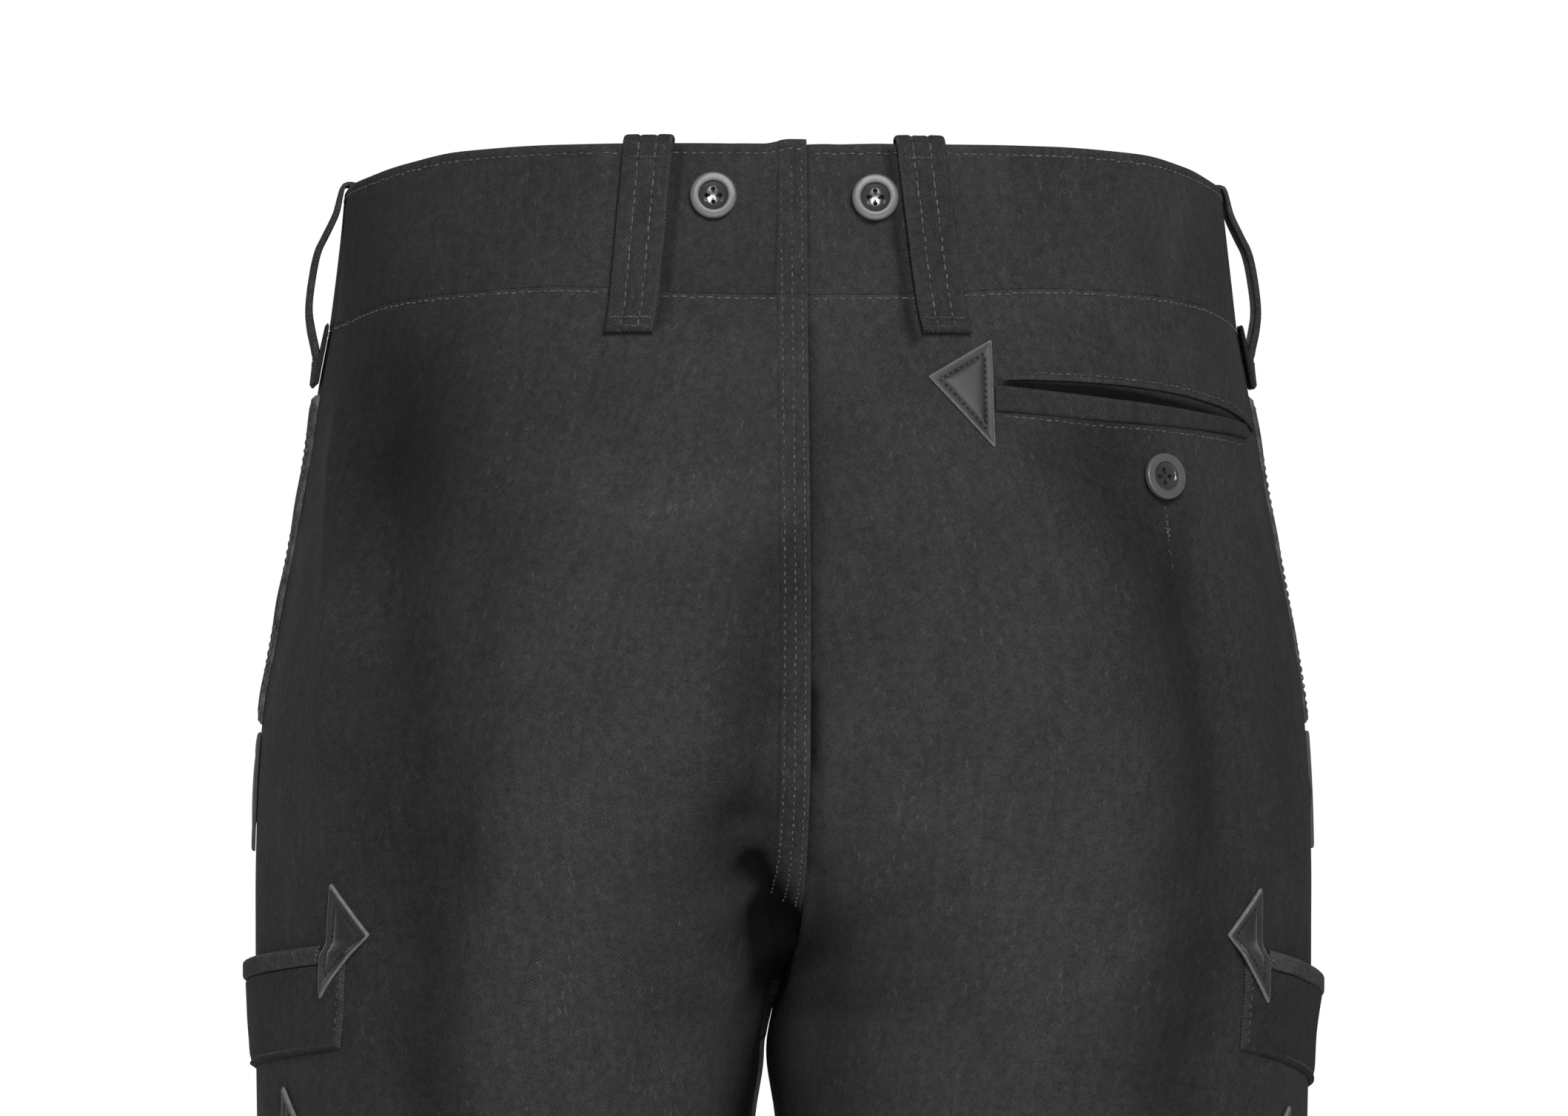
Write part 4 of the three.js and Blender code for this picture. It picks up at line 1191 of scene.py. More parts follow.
# name, side, station, z, lift, distance past the station, droop
BUTTONS = [
    ("brace_button_back_left", 1, 89.1, -19, 0.5, 0, 0),
    ("brace_button_back_right", -1, 110.8, -19.6, 0.5, 0, 0),
    ("brace_button_front_outer_left", 1, -44, -37, 0.5, 0, 0),
    ("brace_button_front_outer_right", -1, -44, -37, 0.5, 0, 0),
    ("brace_button_front_inner_left", 1, -72, -40, 0.5, 0, 0),
    ("brace_button_front_inner_right", -1, -72, -40, 0.5, 0, 0),
    ("back_pocket_button", -1, 52.1, -119.7, 1.6, 0, 0.30),
    ("waist_button", 1, -180, -47, LAP_RISE + 0.5, 18, 0),
]

# radius, height
BUTTON_OUTLINE = [
    (0.0, 0.15), (5.5, 0.1), (7.4, 0.2), (8.15, 0.55), (8.45, 1.1), (8.5, 1.7), (8.45, 2.3),
    (8.36, 2.75), (8.1, 2.98), (7.7, 3.08), (6.9, 3.1), (6.0, 3.12), (5.5, 3.1), (5.3, 3.02),
    (5.18, 2.85), (5.05, 2.5), (4.75, 2.15), (4.2, 1.85), (3.4, 1.6), (2.4, 1.45), (1.2, 1.36),
    (0.0, 1.33),
]
BUTTON_SIDES = 72
HOLE_RADIUS = 0.85
HOLE_OUT = 2.35
HOLE_SIDES = 20


def turned_button():
    """Points, faces and look of a turned button, axis up, with its four holes cut."""
    rings = np.stack([circle(r, h, BUTTON_SIDES) for r, h in BUTTON_OUTLINE[1:-1]])
    points, faces = tube(rings)
    points[-2:] = [[0, 0, BUTTON_OUTLINE[0][1]], [0, 0, BUTTON_OUTLINE[-1][1]]]
    solid = mesh_object("button_blank", points, faces.tolist())
    cutters = []
    for angle in round_circle(4):
        middle = [HOLE_OUT * np.cos(angle), HOLE_OUT * np.sin(angle), 0]
        hole = np.stack([circle(HOLE_RADIUS, height, HOLE_SIDES) + middle for height in (-2.0, 6.0)])
        hole_points, hole_faces = tube(hole)
        cutters.append(mesh_object("button_hole", hole_points, hole_faces.tolist()))
    for cutter in cutters:
        cut = solid.modifiers.new("hole", "BOOLEAN")
        cut.operation = "DIFFERENCE"
        cut.solver = "EXACT"
        cut.object = cutter
    depsgraph = bpy.context.evaluated_depsgraph_get()
    mesh = bpy.data.meshes.new_from_object(solid.evaluated_get(depsgraph))
    co = np.array([v.co for v in mesh.vertices]) / MM
    polygons = [list(p.vertices) for p in mesh.polygons]
    for obj in [solid, *cutters]:
        bpy.data.objects.remove(obj)
    bpy.data.meshes.remove(mesh)
    radius = np.hypot(co[:, 0], co[:, 1])
    look = np.interp(radius, [0, 5.05, 5.35, 5.6], [0, 0, 0.7, 1])
    return co, polygons, look


def button(row, turned, material, thread):
    """A button on its place, with the thread through its four holes and under it."""
    name, side, station, z, lift, past, droop = row
    co, polygons, look = turned
    station, z = np.array([float(station)]), np.array([float(z)])
    axis = unit(normal(side, station, z)[0] + [0, droop, 0])
    centre = cloth(side, station, z, lift)[0]
    centre[0] -= side * past
    across = unit(np.cross([0, 0, 1.0], axis))
    place = np.stack([across, np.cross(axis, across), axis])
    obj = mesh_object("visual_" + name, centre + co @ place, polygons)
    mark_sharp(obj.data, 32)
    dress(obj, look, material, [name])
    sewing = Stitching("thread_" + name)
    axes = np.tile(axis, (24, 1))
    share = np.linspace(0, 3, 24)
    for angle in round_circle(4):
        for offset in (-0.35, 0.35):
            a = np.array([np.cos(angle), np.sin(angle), 0])
            aside = np.array([-a[1], a[0], 0]) * offset
            path = np.array([a * HOLE_OUT + aside + [0, 0, -0.4], a * 2.1 + aside + [0, 0, 1.45],
                             a * 1.0 + aside * 0.6 + [0, 0, 1.62], [0, 0, 1.66]])
            fine = np.stack([np.interp(share, range(4), path[:, k]) for k in range(3)], -1)
            sewing.row(centre + fine @ place, axes, pitch=3.6, length=3.5, thick=0.12)
    pad = np.stack([circle(r, h, 18) for r, h in ((3.4, -0.9), (3.2, -0.2), (3.3, 0.12))])
    sewing.add(*tube(centre + pad @ place))
    sewing.finish(thread)


def mark_sharp(mesh, degrees):
    """Edges that turn more than an angle are shaded hard."""
    work = bmesh.new()
    work.from_mesh(mesh)
    limit = np.radians(degrees)
    for edge in work.edges:
        edge.smooth = len(edge.link_faces) == 2 and edge.calc_face_angle(0) < limit
    work.to_mesh(mesh)
    work.free()


# ---- Pieces that lie on a panel ----

# name, side, station at the back and front end of the mouth, z of both, height
POCKETS = [
    ("upper_left", 1, 48.4, -20, -295, -312, 32),
    ("upper_right", -1, 49.3, -19, -297, -324, 32),
    ("lower_left", 1, 33, -35.5, -371, -388, 165),
    ("lower_right", -1, 36, -32, -379, -406, 165),
]
# station towards the pocket's outside and rise over the mouth
CORNER = [(-5, 30), (5, 8.5), (-5.2, -13.3)]
# station and z of the corners of what lies flat on a panel
BACK_WELT = [(79.3, -86.8), (22, -99.5), (22, -105), (80.3, -96.5)]
BACK_TRIANGLE = [(77.9, -70.5), (89.5, -84), (82, -110.2)]
FRONT_WELT = [(8, -88.5), (-3, -88.5), (-3, -211), (5, -211)]
BACK_WELT_SPAN = 55.8           # in stations
FRONT_WELT_SIZE = (17, 122)     # width, height
FRONT_TRIANGLE = [(5, -213.5), (-15, -236), (4, -258.5)]
POCKET_ROW = 2.2        # inset of the stitches from a ruler pocket's edge


def edge_spaced(length, step):
    """Shares along a length, close together near both ends."""
    near = np.array([0, 0.25, 0.6, 1.1, 1.6, 2.1])
    inner = np.linspace(2.6, length - 2.6, max(2, int(length / step)))
    return np.concatenate([near, inner, length - near[::-1]]) / length


def gape(u, v):
    """How far a ruler pocket stands off at a share across it and down it, most at its mouth."""
    return SEAT + POCKET_GAPE * np.sin(np.pi * u) * (1 - v) ** 2


def mouth(pocket, u):
    """Height of a ruler pocket's mouth at a share across it."""
    return pocket[4] + (pocket[5] - pocket[4]) * u


def pocket_station(pocket, u):
    return pocket[2] + (pocket[3] - pocket[2]) * u


def ruler_pocket(pocket, cloths, leather, rib_material, stitching, dark):
    """A pocket laid on the outer thigh, with its ribbed strip and its two leather corners."""
    name, side, back, front, _, _, height = pocket
    width = (back - front) * POCKET_STATION
    u, v = np.meshgrid(edge_spaced(width, 2.2), edge_spaced(height, 2.4))
    edge = np.minimum(np.minimum(u, 1 - u) * width, (1 - v) * height)
    under = 0.08 + (gape(u, v) - 0.08) * smoothstep(0, 7, edge)
    channel = -0.32 * bell(edge - POCKET_ROW, 0.7)
    top_roll = -0.5 * bell(v * height, 0.5)
    bead = 0.8 * bell(edge - 1.2, 0.8)
    lift = under + POCKET_CLOTH * (0.25 + 0.75 * (1 - bell(edge, 1.0))) + channel + bead + top_roll
    lift = lift + 0.15 * np.sin(v * height / 4.1 + u * 9) * np.exp(-edge / 7)
    lift = lift + 0.4 * np.sin(u * 7 + v * 3 + side) * smoothstep(4, 20, edge)
    station = pocket_station(pocket, u)
    z = mouth(pocket, u) - v * height
    outer = cloth(side, station, z, lift)
    inner = cloth(side, station, z, np.minimum(under, lift - 0.3))
    cut = np.stack([-side * u * width, z], -1)
    # pale worn edges over a painted shade that darkens the whole pocket, the right pocket more than the
    # left
    wear_and_shade = 0.9 * bell(edge, 1.3) - (0.5 if side < 0 else 0.1)
    cloth_shell(f"side_pocket_{name}", outer, inner, cut, wear_and_shade, cloths)
    inset = POCKET_ROW / width
    run = np.linspace(0.02, 1 - POCKET_ROW / height, 60)
    for at in (inset, 1 - inset):
        stitching.on_cloth(side, np.full(60, float(pocket_station(pocket, at))),
                           mouth(pocket, at) - run * height, lift=gape(at, run) * 0.35 + POCKET_CLOTH,
                           thick=0.22)
    run = np.linspace(inset, 1 - inset, 60)
    stitching.on_cloth(side, pocket_station(pocket, run), mouth(pocket, run) - height + POCKET_ROW,
                       lift=POCKET_CLOTH + 0.05, thick=0.22)
    rib_strip(pocket, rib_material)
    pocket_corner(pocket, "back", 0, 1, leather, dark)
    pocket_corner(pocket, "front", 1, -1, leather, dark)


def pocket_corner(pocket, end, end_u, outward, leather, dark):
    """The leather at one end of a ruler pocket's mouth. It lies on the pocket and, past it, on
    the panel."""
    name, side, back, front, _, _, height = pocket
    corners = []
    for station_off, rise in CORNER:
        s = pocket_station(pocket, end_u) + outward * station_off
        corners.append((s, mouth(pocket, (back - s) / (back - front)) + rise))

    def lift_at(s, z):
        share = (back - s) / (back - front)
        past = outward * (s - pocket_station(pocket, end_u)) * POCKET_STATION
        above = z - mouth(pocket, share)
        down = np.clip(-above / height, 0, 1)
        cover = gape(np.clip(share, 0, 1), down) + POCKET_CLOTH + COVER_CLEAR
        return cover + (0.35 - cover) * smoothstep(COVER_START, COVER_END, np.maximum(past, above))

    leather_triangle(f"side_pocket_corner_{name}_{end}", side, corners, POCKET_STATION,
                     lift_at, leather, dark, rim=0.03, raw=1.0)


# The ribs of the strip on a ruler pocket's mouth
RIB_HEIGHT = 0.30
RIB_PITCH = 0.98
RIB_SLANT = (0.85, 0.55)


def rib_strip(pocket, material):
    """The ribbed strip along a ruler pocket's mouth, its ribs on the slant."""
    name, side = pocket[0], pocket[1]
    width = (pocket[2] - pocket[3]) * POCKET_STATION * (1 - 2 * STRIP_INSET)
    u, v = np.meshgrid(np.linspace(0, 1, int(width / 0.24)), np.linspace(0, 1, 18))
    share = STRIP_INSET + u * (1 - 2 * STRIP_INSET)
    rise = 0.3 + (1 - v) * STRIP_HEIGHT
    from_edge = np.minimum(v, 1 - v) * STRIP_HEIGHT
    way = u * width * RIB_SLANT[0] + side * v * STRIP_HEIGHT * RIB_SLANT[1]
    ribs = RIB_HEIGHT * np.sin(2 * np.pi * way / RIB_PITCH)
    crown = STRIP_CLOTH * (0.45 + 0.55 * np.sqrt(np.clip(1 - (1 - from_edge / 1.6) ** 2, 0, 1))
                           * (from_edge < 1.6) + 0.55 * (from_edge >= 1.6))
    ends = np.minimum(u, 1 - u) * width
    crown = crown * np.clip(0.4 + ends, 0.4, 1)
    base = gape(share, 0)
    station = pocket_station(pocket, share)
    z = mouth(pocket, share) + rise
    outer = cloth(side, station, z, base - 0.1 + crown + ribs * smoothstep(0.2, 0.9, from_edge))
    inner = cloth(side, station, z, base - 0.1)
    cut = np.stack([-side * u * width, z], -1)
    low_edge = bell((1 - v) * STRIP_HEIGHT, 0.9)
    # painted light and shade on the ribs: crests paler, troughs darker; the lower edge paler with wear
    wear_and_shade = 0.4 + 5.0 * ribs + 1.8 * low_edge * (0.6 + 1.5 * ribs)
    cloth_shell(f"side_pocket_strip_{name}", outer, inner, cut, wear_and_shade, material)


LEATHER_ROW = 2.9       # inset of the stitches from a leather corner's edge
SIDE_POINTS = 26        # on each straight side of a leather corner's outline
LEATHER_INSETS = (0, 0.12, 0.4, 0.8, 1.2, 1.45, 1.8, 2.3, 2.6, 2.9, 3.2, 3.6, 4.4, 5.6)


def rounded_outline(corners, radius):
    """Points round a triangle whose corners are rounded, with as many on each side."""
    t = np.linspace(0, 1, 9)[:, None]
    bends = []
    for i, here in enumerate(corners):
        a, b = unit(corners[i - 1] - here), unit(corners[(i + 1) % 3] - here)
        reach = radius / np.tan(np.arccos(np.clip(a @ b, -1, 1)) / 2)
        start, end = here + a * reach, here + b * reach
        bends.append((1 - t) ** 2 * start + 2 * t * (1 - t) * here + t**2 * end)
    share = np.linspace(0, 1, SIDE_POINTS + 2)[1:-1, None]
    points = []
    for bend, following in zip(bends, bends[1:] + bends[:1]):
        points += [bend, bend[-1] + (following[0] - bend[-1]) * share]
    return np.concatenate(points)


def leather_triangle(name, side, corners, metric, lift_at, material, dark, rim, raw, face=0.0):
    """A leather corner: pale cut edge, sewn down inside it, and swelling in the middle, which face
    paints paler as a highlight.
    """
    origin = np.array(corners[1], float)
    flat = (np.array(corners, float) - origin) * [metric, 1.0]
    sides = np.linalg.norm(np.roll(flat, -1, axis=0) - np.roll(flat, -2, axis=0), axis=1)
    centre = (sides[:, None] * flat).sum(0) / sides.sum()
    a, b = flat[1] - flat[0], flat[2] - flat[0]
    inradius = abs(a[0] * b[1] - a[1] * b[0]) / sides.sum()
    outline = rounded_outline(flat, 0.7)
    count = len(outline)
    scale = 1 - np.array([i for i in LEATHER_INSETS if i < 0.8 * inradius]) / inradius
    scale = np.concatenate([scale, np.linspace(scale[-1], 0.0, 5)[1:-1]])
    inset = (1 - scale) * inradius
    rings = centre + (outline - centre)[None] * scale[:, None, None]
    ahead = np.roll(flat, -1, axis=0) - flat
    ways = unit(np.stack([-ahead[:, 1], ahead[:, 0]], 1))
    from_sides = np.abs(((rings[:, :, None, :] - flat) * ways).sum(-1))
    even = 27 * from_sides.prod(-1) / from_sides.sum(-1) ** 3
    puff = 0.45 * smoothstep(LEATHER_ROW, LEATHER_ROW + 2.5, inset)[:, None] * even
    edge = -0.4 * bell(inset - LEATHER_ROW, 0.5) - 0.35 * bell(inset, 0.25)
    edge = edge + 0.25 * bell(inset - 0.8, 0.7)
    above = LEATHER + puff + edge[:, None]

    def spot(flat_points):
        return origin[0] + flat_points[..., 0] / metric, origin[1] + flat_points[..., 1]

    def place(flat_points, lift):
        station, z = spot(flat_points)
        return cloth(side, station, z, lift_at(station, z) + lift)

    grid = np.concatenate([place(rings[:1], 0.0), place(rings, above)])
    tip = place(centre[None], above[-1:, 0] + 0.02)
    points = np.concatenate([grid.reshape(-1, 3), tip, place(centre[None], 0.0)])
    c = np.arange(count)
    after = (c + 1) % count
    last = (len(grid) - 1) * count
    tip_index, bottom_index = np.full((2, count), [[len(points) - 2], [len(points) - 1]])
    faces = facing_out(points, [
        grid_faces(len(grid), count, ring=True),
        np.stack([last + c, tip_index, tip_index, last + after], -1),
        np.stack([c, after, bottom_index, bottom_index], -1),
    ])
    pale = raw * smoothstep(0.6, 0.3, inset) + rim * smoothstep(2.6, 2.2, inset)
    # painted highlight: the swelling inside the stitches is painted paler by face
    pale = pale + face * smoothstep(LEATHER_ROW, LEATHER_ROW + 3, inset)
    pale = np.repeat(np.concatenate([[raw + rim], pale]), count)
    pale = np.concatenate([pale, [face, 0.2]])
    piece("leather_" + name, points, faces, material, [name], wear_and_shade=pale)
    ring = centre + (outline - centre) * (1 - LEATHER_ROW / inradius)
    ring = np.concatenate([ring, ring[:1]])
    dark.row(place(ring, LEATHER - 0.22), normal(side, *spot(ring)), pitch=2.3, length=1.7, thick=0.33)


def four_corners(corners, u, v):
    """Stations and heights of a grid between four corners."""
    c = np.array(corners, float)
    u, v = u[..., None], v[..., None]
    upper = c[0] + (c[1] - c[0]) * u
    lower = c[3] + (c[2] - c[3]) * u
    return np.moveaxis(upper + (lower - upper) * v, -1, 0)


def metric_at(side, station, z):
    """Millimetres of cloth in one station at a place."""
    s = np.array([station - 1.0, station + 1.0])
    ends = body(side, s, z)
    return float(np.linalg.norm(ends[1] - ends[0]) / 2)


def flat_low(station, _):
    """The lift of leather that lies on a panel."""
    return 0.3 + 0 * station


def back_pocket(cloths, lip_cloth, leather, stitching, dark):
    """The welt pocket on the wearer's right, with its dark mouth, and its leather corner."""
    side = -1
    width = BACK_WELT_SPAN * metric_at(side, 50, -95)
    u, v = np.meshgrid(edge_spaced(width, 1.8), np.linspace(0, 1, 15))
    station, z = four_corners(BACK_WELT, u, v)
    crown = np.sqrt(np.clip(1 - (2 * v - 1) ** 6, 0, 1))
    ends = np.clip(np.minimum(u, 1 - u) * width / 0.8, 0, 1)
    sag = 0.25 * np.sin(u * 17 + 1) * v
    lift = 0.3 + (POCKET_CLOTH - 0.2) * (0.2 + 0.8 * crown) * (0.3 + 0.7 * ends) + sag
    outer = cloth(side, station, z, lift)
    inner = cloth(side, station, z, 0.05)
    cut = np.stack([u * width, z], -1)
    cloth_shell("back_pocket_welt", outer, inner, cut, 0.8 * bell(v * 9, 1.5), cloths)
    mouth_strip(side, stitching, lip_cloth)
    stitching.on_cloth(side, [79.6, 62.6, 50.7, 36, 24], [-97.9, -100.9, -102.6, -105.2, -107.4],
                       thick=0.23)
    # its face share paints a highlight in the middle
    leather_triangle("back_pocket_triangle", side, BACK_TRIANGLE, metric_at(side, 83, -88),
                     flat_low, leather, dark, rim=0.10, raw=0.90, face=0.10)


LIP = [(79.0, -84.8), (61.1, -85.7), (44.3, -89.2), (30, -94.8), (22, -98.8), (14, -103.4)]
LIP_HEIGHT = 6.0


def mouth_strip(side, stitching, material):
    """The upper lip of the back pocket, which stands over the welt and shades it."""
    share = np.linspace(0, 1, 120)
    knots = np.linspace(0, 1, len(LIP))
    station, low = (np.interp(share, knots, [p[k] for p in LIP]) for k in (0, 1))
    low = np.convolve(np.pad(low, 10, mode="edge"), np.ones(21) / 21, mode="valid")
    down = np.array([0, 0.4, 1.2, 2.2, 3.2, 4.2, 5.0, 5.6, 5.9, LIP_HEIGHT])[:, None]
    z = low + LIP_HEIGHT - down
    rise = smoothstep(0, LIP_HEIGHT, down) * 2.7 - 0.5
    rise = rise - 0.9 * bell(LIP_HEIGHT - down, 0.35) - 0.3 * bell(down - 3.6, 0.6)
    ends = smoothstep(0, 0.06, share) * smoothstep(1.0, 0.93, share)
    lift = rise * ends - 0.3 * (1 - ends)
    s = np.broadcast_to(station, z.shape)
    outer = cloth(side, s, z, lift)
    inner = cloth(side, s, z, np.maximum(lift - 0.9, -0.4))
    cut = np.stack([s * 2.2, z], -1)
    wear_and_shade = 0.6 * bell(LIP_HEIGHT - down, 0.8) * np.ones_like(s)
    cloth_shell("back_pocket_lip", outer, inner, cut, wear_and_shade, material, ())
    stitching.on_cloth(side, station[6:-6], low[6:-6] + 2.4, lift=1.5 * ends[6:-6], thick=0.23)


def front_pocket(side, cloths, leather, stitching, dark):
    """The welt and the leather corner of a front pocket."""
    width, height = FRONT_WELT_SIZE
    half = SIDE_NAMES[side]
    u, v = np.meshgrid(edge_spaced(width, 1.4), edge_spaced(height, 2.4))
    station, z = four_corners(FRONT_WELT, u, v)
    edge = np.minimum(np.minimum(u, 1 - u) * width, np.minimum(v, 1 - v) * height)
    lift = 0.25 + POCKET_CLOTH * (0.2 + 0.8 * (1 - bell(edge, 1.1)))
    lift = lift - 0.3 * bell(edge - 2.6, 0.7) + 0.3 * np.sin(v * 21 + side)
    outer = cloth(side, station, z, lift)
    inner = cloth(side, station, z, 0.05)
    cut = np.stack([side * u * width, z], -1)
    rough = 1 + 0.5 * np.sin(v * 97) + 0.4 * np.sin(v * 41 + 1)
    wear_and_shade = bell(edge, 1.6) * (1 + 5.0 * (u < 0.3) * rough)
    cloth_shell(f"front_pocket_welt_{half}", outer, inner, cut, wear_and_shade, cloths)
    for top, end in ((6.2, 4.65), (-1.6, -1.6)):
        stitching.on_cloth(side, [top, end], [-91, -209], lift=1.7)
    leather_triangle(f"front_pocket_corner_{half}", side, FRONT_TRIANGLE,
                     metric_at(side, 0.0, -236), flat_low, leather, dark, rim=0.0, raw=0.25)


# ---- Rows of stitches on the panels ----


def seam_stitches(side, stitching):
    """Rows under the waist seam, along the waistband's top edge and round the hem."""
    for station in (np.linspace(179, 0.5, 500), -np.linspace(0.5, 178, 500)):
        stitching.on_cloth(side, station, waist_seam(station) - SEAM_ROW, lift=-0.05)
    bands, distance, past = band_columns(side)
    lift = band_lap(side, bands) + seam_ridge(FELL_RISE, FELL_WIDTH, distance) * (side > 0)
    z = waist_top(bands) + crest(side, distance) - TOP_ROW
    keep = distance > 0.5
    row = band_points(side, bands, z, lift, past)[keep]
    stitching.row(row, normal(side, bands, z)[keep], pitch=3.2, length=2.2)
    for facing in (1, -1):
        hem_station = facing * np.linspace(0.5, 179.5, 300)
        stitching.on_cloth(side, hem_station, np.full(300, HEM + HEM_ROW), lift=-0.1, pitch=4.0,
                           length=3.0)


def felled_stitches(stitching):
    heights = np.linspace(-4, FELL_END + 17, 500)
    lift = FELL_RISE - np.where(heights > SEAM_LEVEL, 0.15, 0.2)
    for distance in FELL_ROWS:
        station = follow(1, 1, distance, heights)
        stitching.on_cloth(1, station, heights, lift=lift, samples=500, pitch=3.0, length=1.7,
                           thick=0.26)


def fly_stitches(stitching):
    """Two rows beside the fly, which curve in at its foot."""
    straight = np.linspace(-78, FLY_END + 30, 200)
    for distance in FLY_ROWS:
        turn = np.linspace(0, np.pi / 2, 60)[1:]
        heights = np.concatenate([straight, straight[-1] - (distance * 0.8) * np.sin(turn)])
        across = np.concatenate([np.full(200, distance), distance * np.cos(turn) + 2])
        station = np.array([follow(1, -1, d, [h])[0] for d, h in zip(across, heights)])
        stitching.on_cloth(1, station, heights, lift=FLY_RISE - 0.15, samples=len(heights) * 2)
    for height in np.linspace(FLY_END + 2, FLY_END + 12, 9):
        station = follow(1, -1, 3.5, [height, height])
        width = 3.0 / metric_at(1, station[0], height)
        stitching.on_cloth(1, [station[0] - width, station[0] + width], [height, height],
                           lift=FLY_RISE + 0.1, samples=10, pitch=5.5, length=5.5)


# The tack under the back pocket's button: height, way off its middle, width
TACKS = [
    (-131, 0.2, 0.9), (-133, -0.3, 1.0), (-135, 0.3, 1.3), (-136.5, 0.0, 2.0), (-137.6, 0.3, 3.0),
    (-138.4, -0.2, 3.2), (-139.3, 0.2, 2.8), (-140.4, -0.5, 1.8), (-142, 0.2, 1.0),
    (-146, 0.0, 1.2), (-151, -0.8, 0.9),
]


def button_tack(stitching):
    """The tangle of thread under the back pocket's button."""
    side = -1
    metric = metric_at(side, 52, -140)
    for i, (height, off, width) in enumerate(TACKS):
        middle = 52.0 + off / metric
        half = width / 2 / metric
        slant = 1.1 * np.sin(i * 2.3)
        stitching.on_cloth(side, [middle - half, middle + half], [height - slant, height + slant],
                           samples=8, lift=0.1, pitch=width, length=width, thick=0.2)
    stitching.on_cloth(side, [52.1, 51.9, 52.1], [-129, -134, -140], samples=20, lift=0.1,
                       pitch=2.6, length=2.4, thick=0.2)


# ---- Stage, light and camera ----

CAMERA_AZIMUTH = 176.0
CAMERA_DISTANCE = 2.75
CAMERA_HEIGHT = -0.149
LENS = 168.1
FLOOR = -1.1245
FLOOR_REACH = 3.0
FILL_LIGHT = 0.07

# name, place, what it aims at, size, power
LIGHTS = [
    ("key", (-0.25, 2.9, 1.1), (0, 0, -0.25), (0.8, 0.9), 56),
    ("low", (-0.2, 3.0, -0.1), (0, 0, -0.25), (0.9, 0.7), 16),
    ("rim_left", (2.0, -1.4, 0.3), (0.1, 0, -0.4), (0.5, 2.0), 20),
    ("rim_right", (-2.0, -1.4, 0.3), (-0.1, 0, -0.4), (0.5, 2.0), 12),
    ("front", (0.3, -3.0, 0.9), (0, 0, -0.5), (1.4, 1.4), 66),
    ("glint_left", (1.3, 2.7, 1.5), (0, 0, -0.05), (0.3, 0.3), 4),
    ("glint_right", (-1.3, 2.7, 1.5), (0, 0, -0.05), (0.3, 0.3), 4),
]


def aimed(obj, place, way):
    """An object put at a place, looking along a way."""
    obj.location = place
    obj.rotation_euler = way.to_track_quat("-Z", "Y").to_euler()
    return obj


def lights():
    for name, place, aim, size, power in LIGHTS:
        light = bpy.data.lights.new(name, "AREA")
        light.shape = "RECTANGLE"
        light.size, light.size_y = size
        light.energy = power
        aimed(add_object(name, light), place, Vector(aim) - Vector(place))


def studio():
    """The camera, a white world, the lights and the floor."""
    azimuth = np.radians(CAMERA_AZIMUTH)
    eye = Vector((np.sin(azimuth), -np.cos(azimuth), 0)) * CAMERA_DISTANCE
    camera = bpy.data.cameras.new("camera")
    camera.lens = LENS
    camera.sensor_width = 36.0
    camera.clip_end = 50.0
    place = (eye.x, eye.y, CAMERA_HEIGHT)
    bpy.context.scene.camera = aimed(add_object("camera", camera), place, -eye)
    bpy.context.scene.view_settings.view_transform = "Standard"

    world = bpy.data.worlds.new("studio")
    bpy.context.scene.world = world
    world.use_nodes = True
    nodes, links = world.node_tree.nodes, world.node_tree.links
    fill, white = nodes["Background"], nodes.new("ShaderNodeBackground")
    for background, strength in ((fill, FILL_LIGHT), (white, 1.0)):
        background.inputs["Color"].default_value = (1, 1, 1, 1)
        background.inputs["Strength"].default_value = strength
    mix = nodes.new("ShaderNodeMixShader")
    path = nodes.new("ShaderNodeLightPath")
    links.new(path.outputs["Is Camera Ray"], mix.inputs["Fac"])
    links.new(fill.outputs[0], mix.inputs[1])
    links.new(white.outputs[0], mix.inputs[2])
    links.new(mix.outputs[0], nodes["World Output"].inputs["Surface"])
    lights()

    mesh = bpy.data.meshes.new("floor")
    ways = ((-1, -1), (1, -1), (1, 1), (-1, 1))
    corners = [(x * FLOOR_REACH, y * FLOOR_REACH, FLOOR) for x, y in ways]
    mesh.from_pydata(corners, [], [(0, 1, 2, 3)])
    mesh.materials.append(floor_material())
    add_object("floor", mesh)


# ---- The whole garment ----


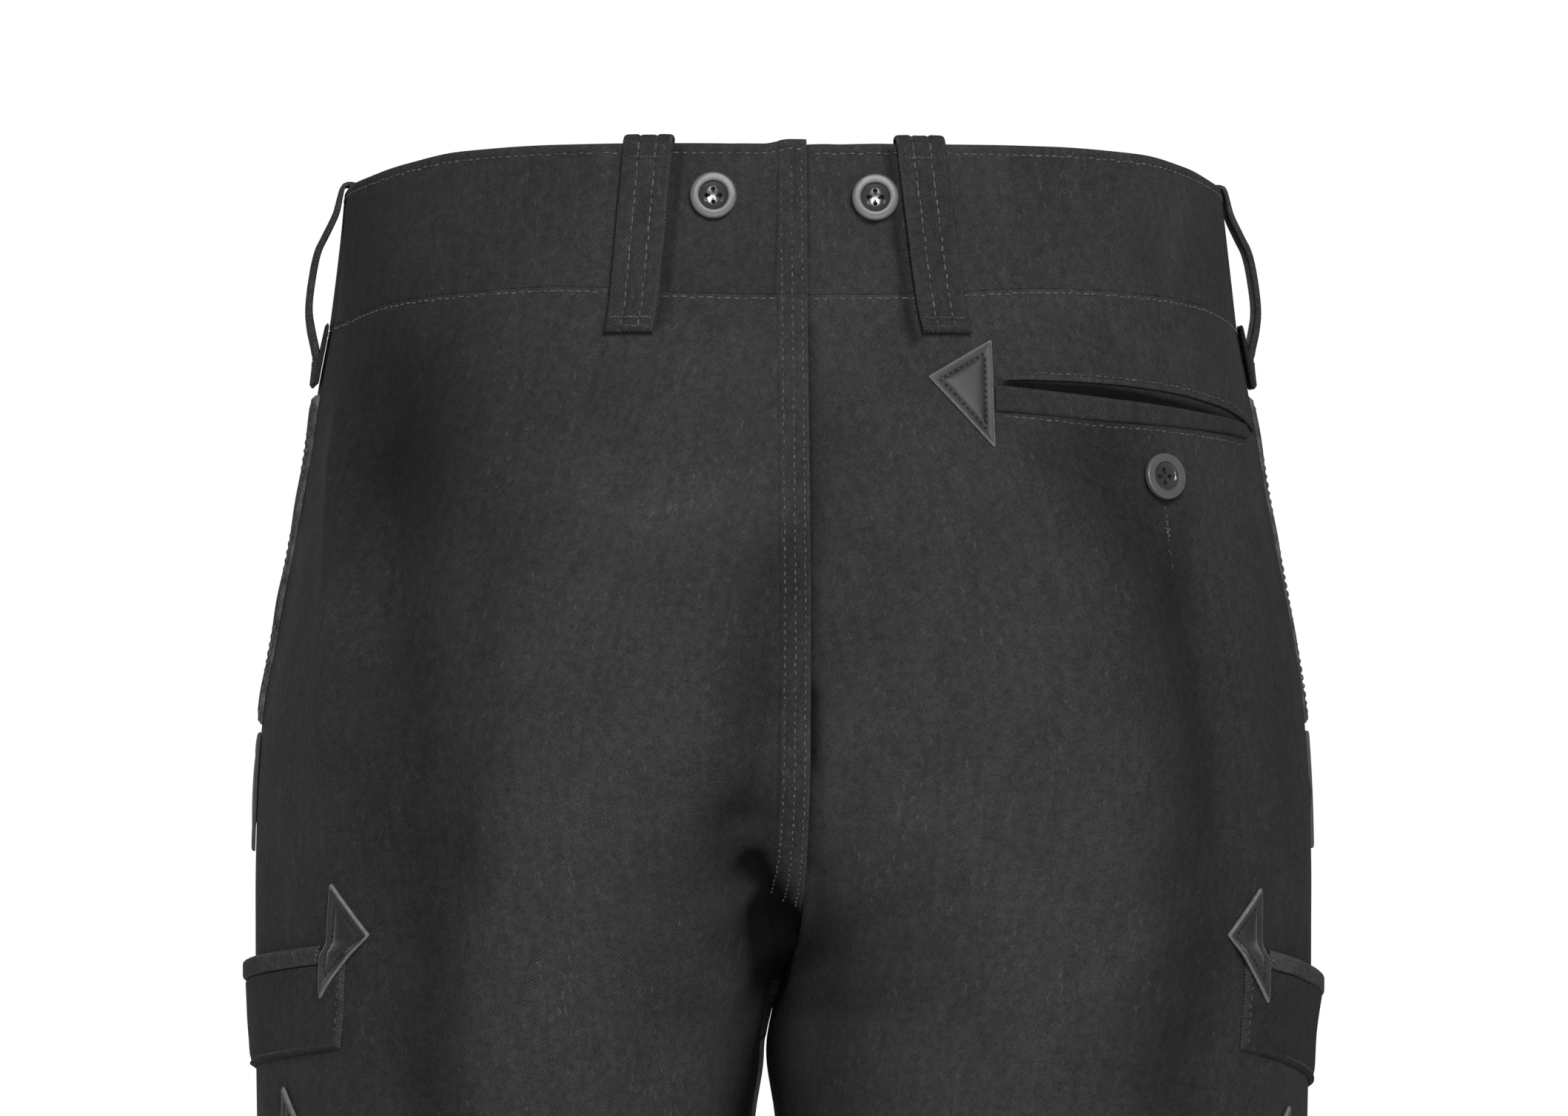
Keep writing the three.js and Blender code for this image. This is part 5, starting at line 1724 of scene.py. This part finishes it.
def garment():
    """Every piece, each riding on the one body."""
    left = twill("twill_left", 38, 0.044)
    right = twill("twill_right", 50, 0.044)
    band = twill("twill_band", 46, 0.042)
    strap = twill("twill_strap", 40, 0.040, pitch=1.05, ribs=0.7)
    ribbed = twill("twill_ribbed", 62, 0.054, pitch=1.2, ribs=0.4)
    leather = leather_material()
    moulded = button_material()
    thread = thread_material("thread", 0.105)
    dark_thread = thread_material("thread_dark", 0.022)

    felled = (FELL_WIDTH, FELL_RISE, FELL_END, FELL_ROWS)
    plain = (FELL_WIDTH, 0.0, NOWHERE, ())
    fly = (FLY_WIDTH, FLY_RISE, FLY_END, FLY_ROWS)
    panel("back_left", 1, 1, felled, left)
    panel("back_right", -1, 1, plain, right)
    panel("front_left", 1, -1, fly, right)
    panel("front_right", -1, -1, plain, left)
    waistband(1, band)
    waistband(-1, band)

    rows = {1: Stitching("stitching_left"), -1: Stitching("stitching_right")}
    dark = Stitching("stitching_leather")
    for loop in LOOPS:
        belt_loop(loop, strap, rows[loop[1]])
        if loop[2] == "bulged":
            loop_turn_in(loop, strap)
    for pocket in POCKETS:
        ruler_pocket(pocket, strap, leather, ribbed, rows[pocket[1]], dark)
    back_pocket(strap, right, leather, rows[-1], dark)
    for side in rows:
        front_pocket(side, strap, leather, rows[1], dark)
    for side, stitching in rows.items():
        seam_stitches(side, stitching)
    felled_stitches(rows[1])
    fly_stitches(rows[1])
    button_tack(rows[-1])
    for stitching in rows.values():
        stitching.finish(thread)
    dark.finish(dark_thread)
    turned = turned_button()
    for row in BUTTONS:
        button(row, turned, moulded, dark_thread)


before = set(bpy.data.objects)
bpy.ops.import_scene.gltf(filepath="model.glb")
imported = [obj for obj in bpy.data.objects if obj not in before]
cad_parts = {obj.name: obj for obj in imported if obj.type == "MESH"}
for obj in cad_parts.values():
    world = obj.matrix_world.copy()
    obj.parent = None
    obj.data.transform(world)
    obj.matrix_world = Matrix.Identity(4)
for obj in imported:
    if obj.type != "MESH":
        bpy.data.objects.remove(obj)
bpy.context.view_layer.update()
studio()
garment()
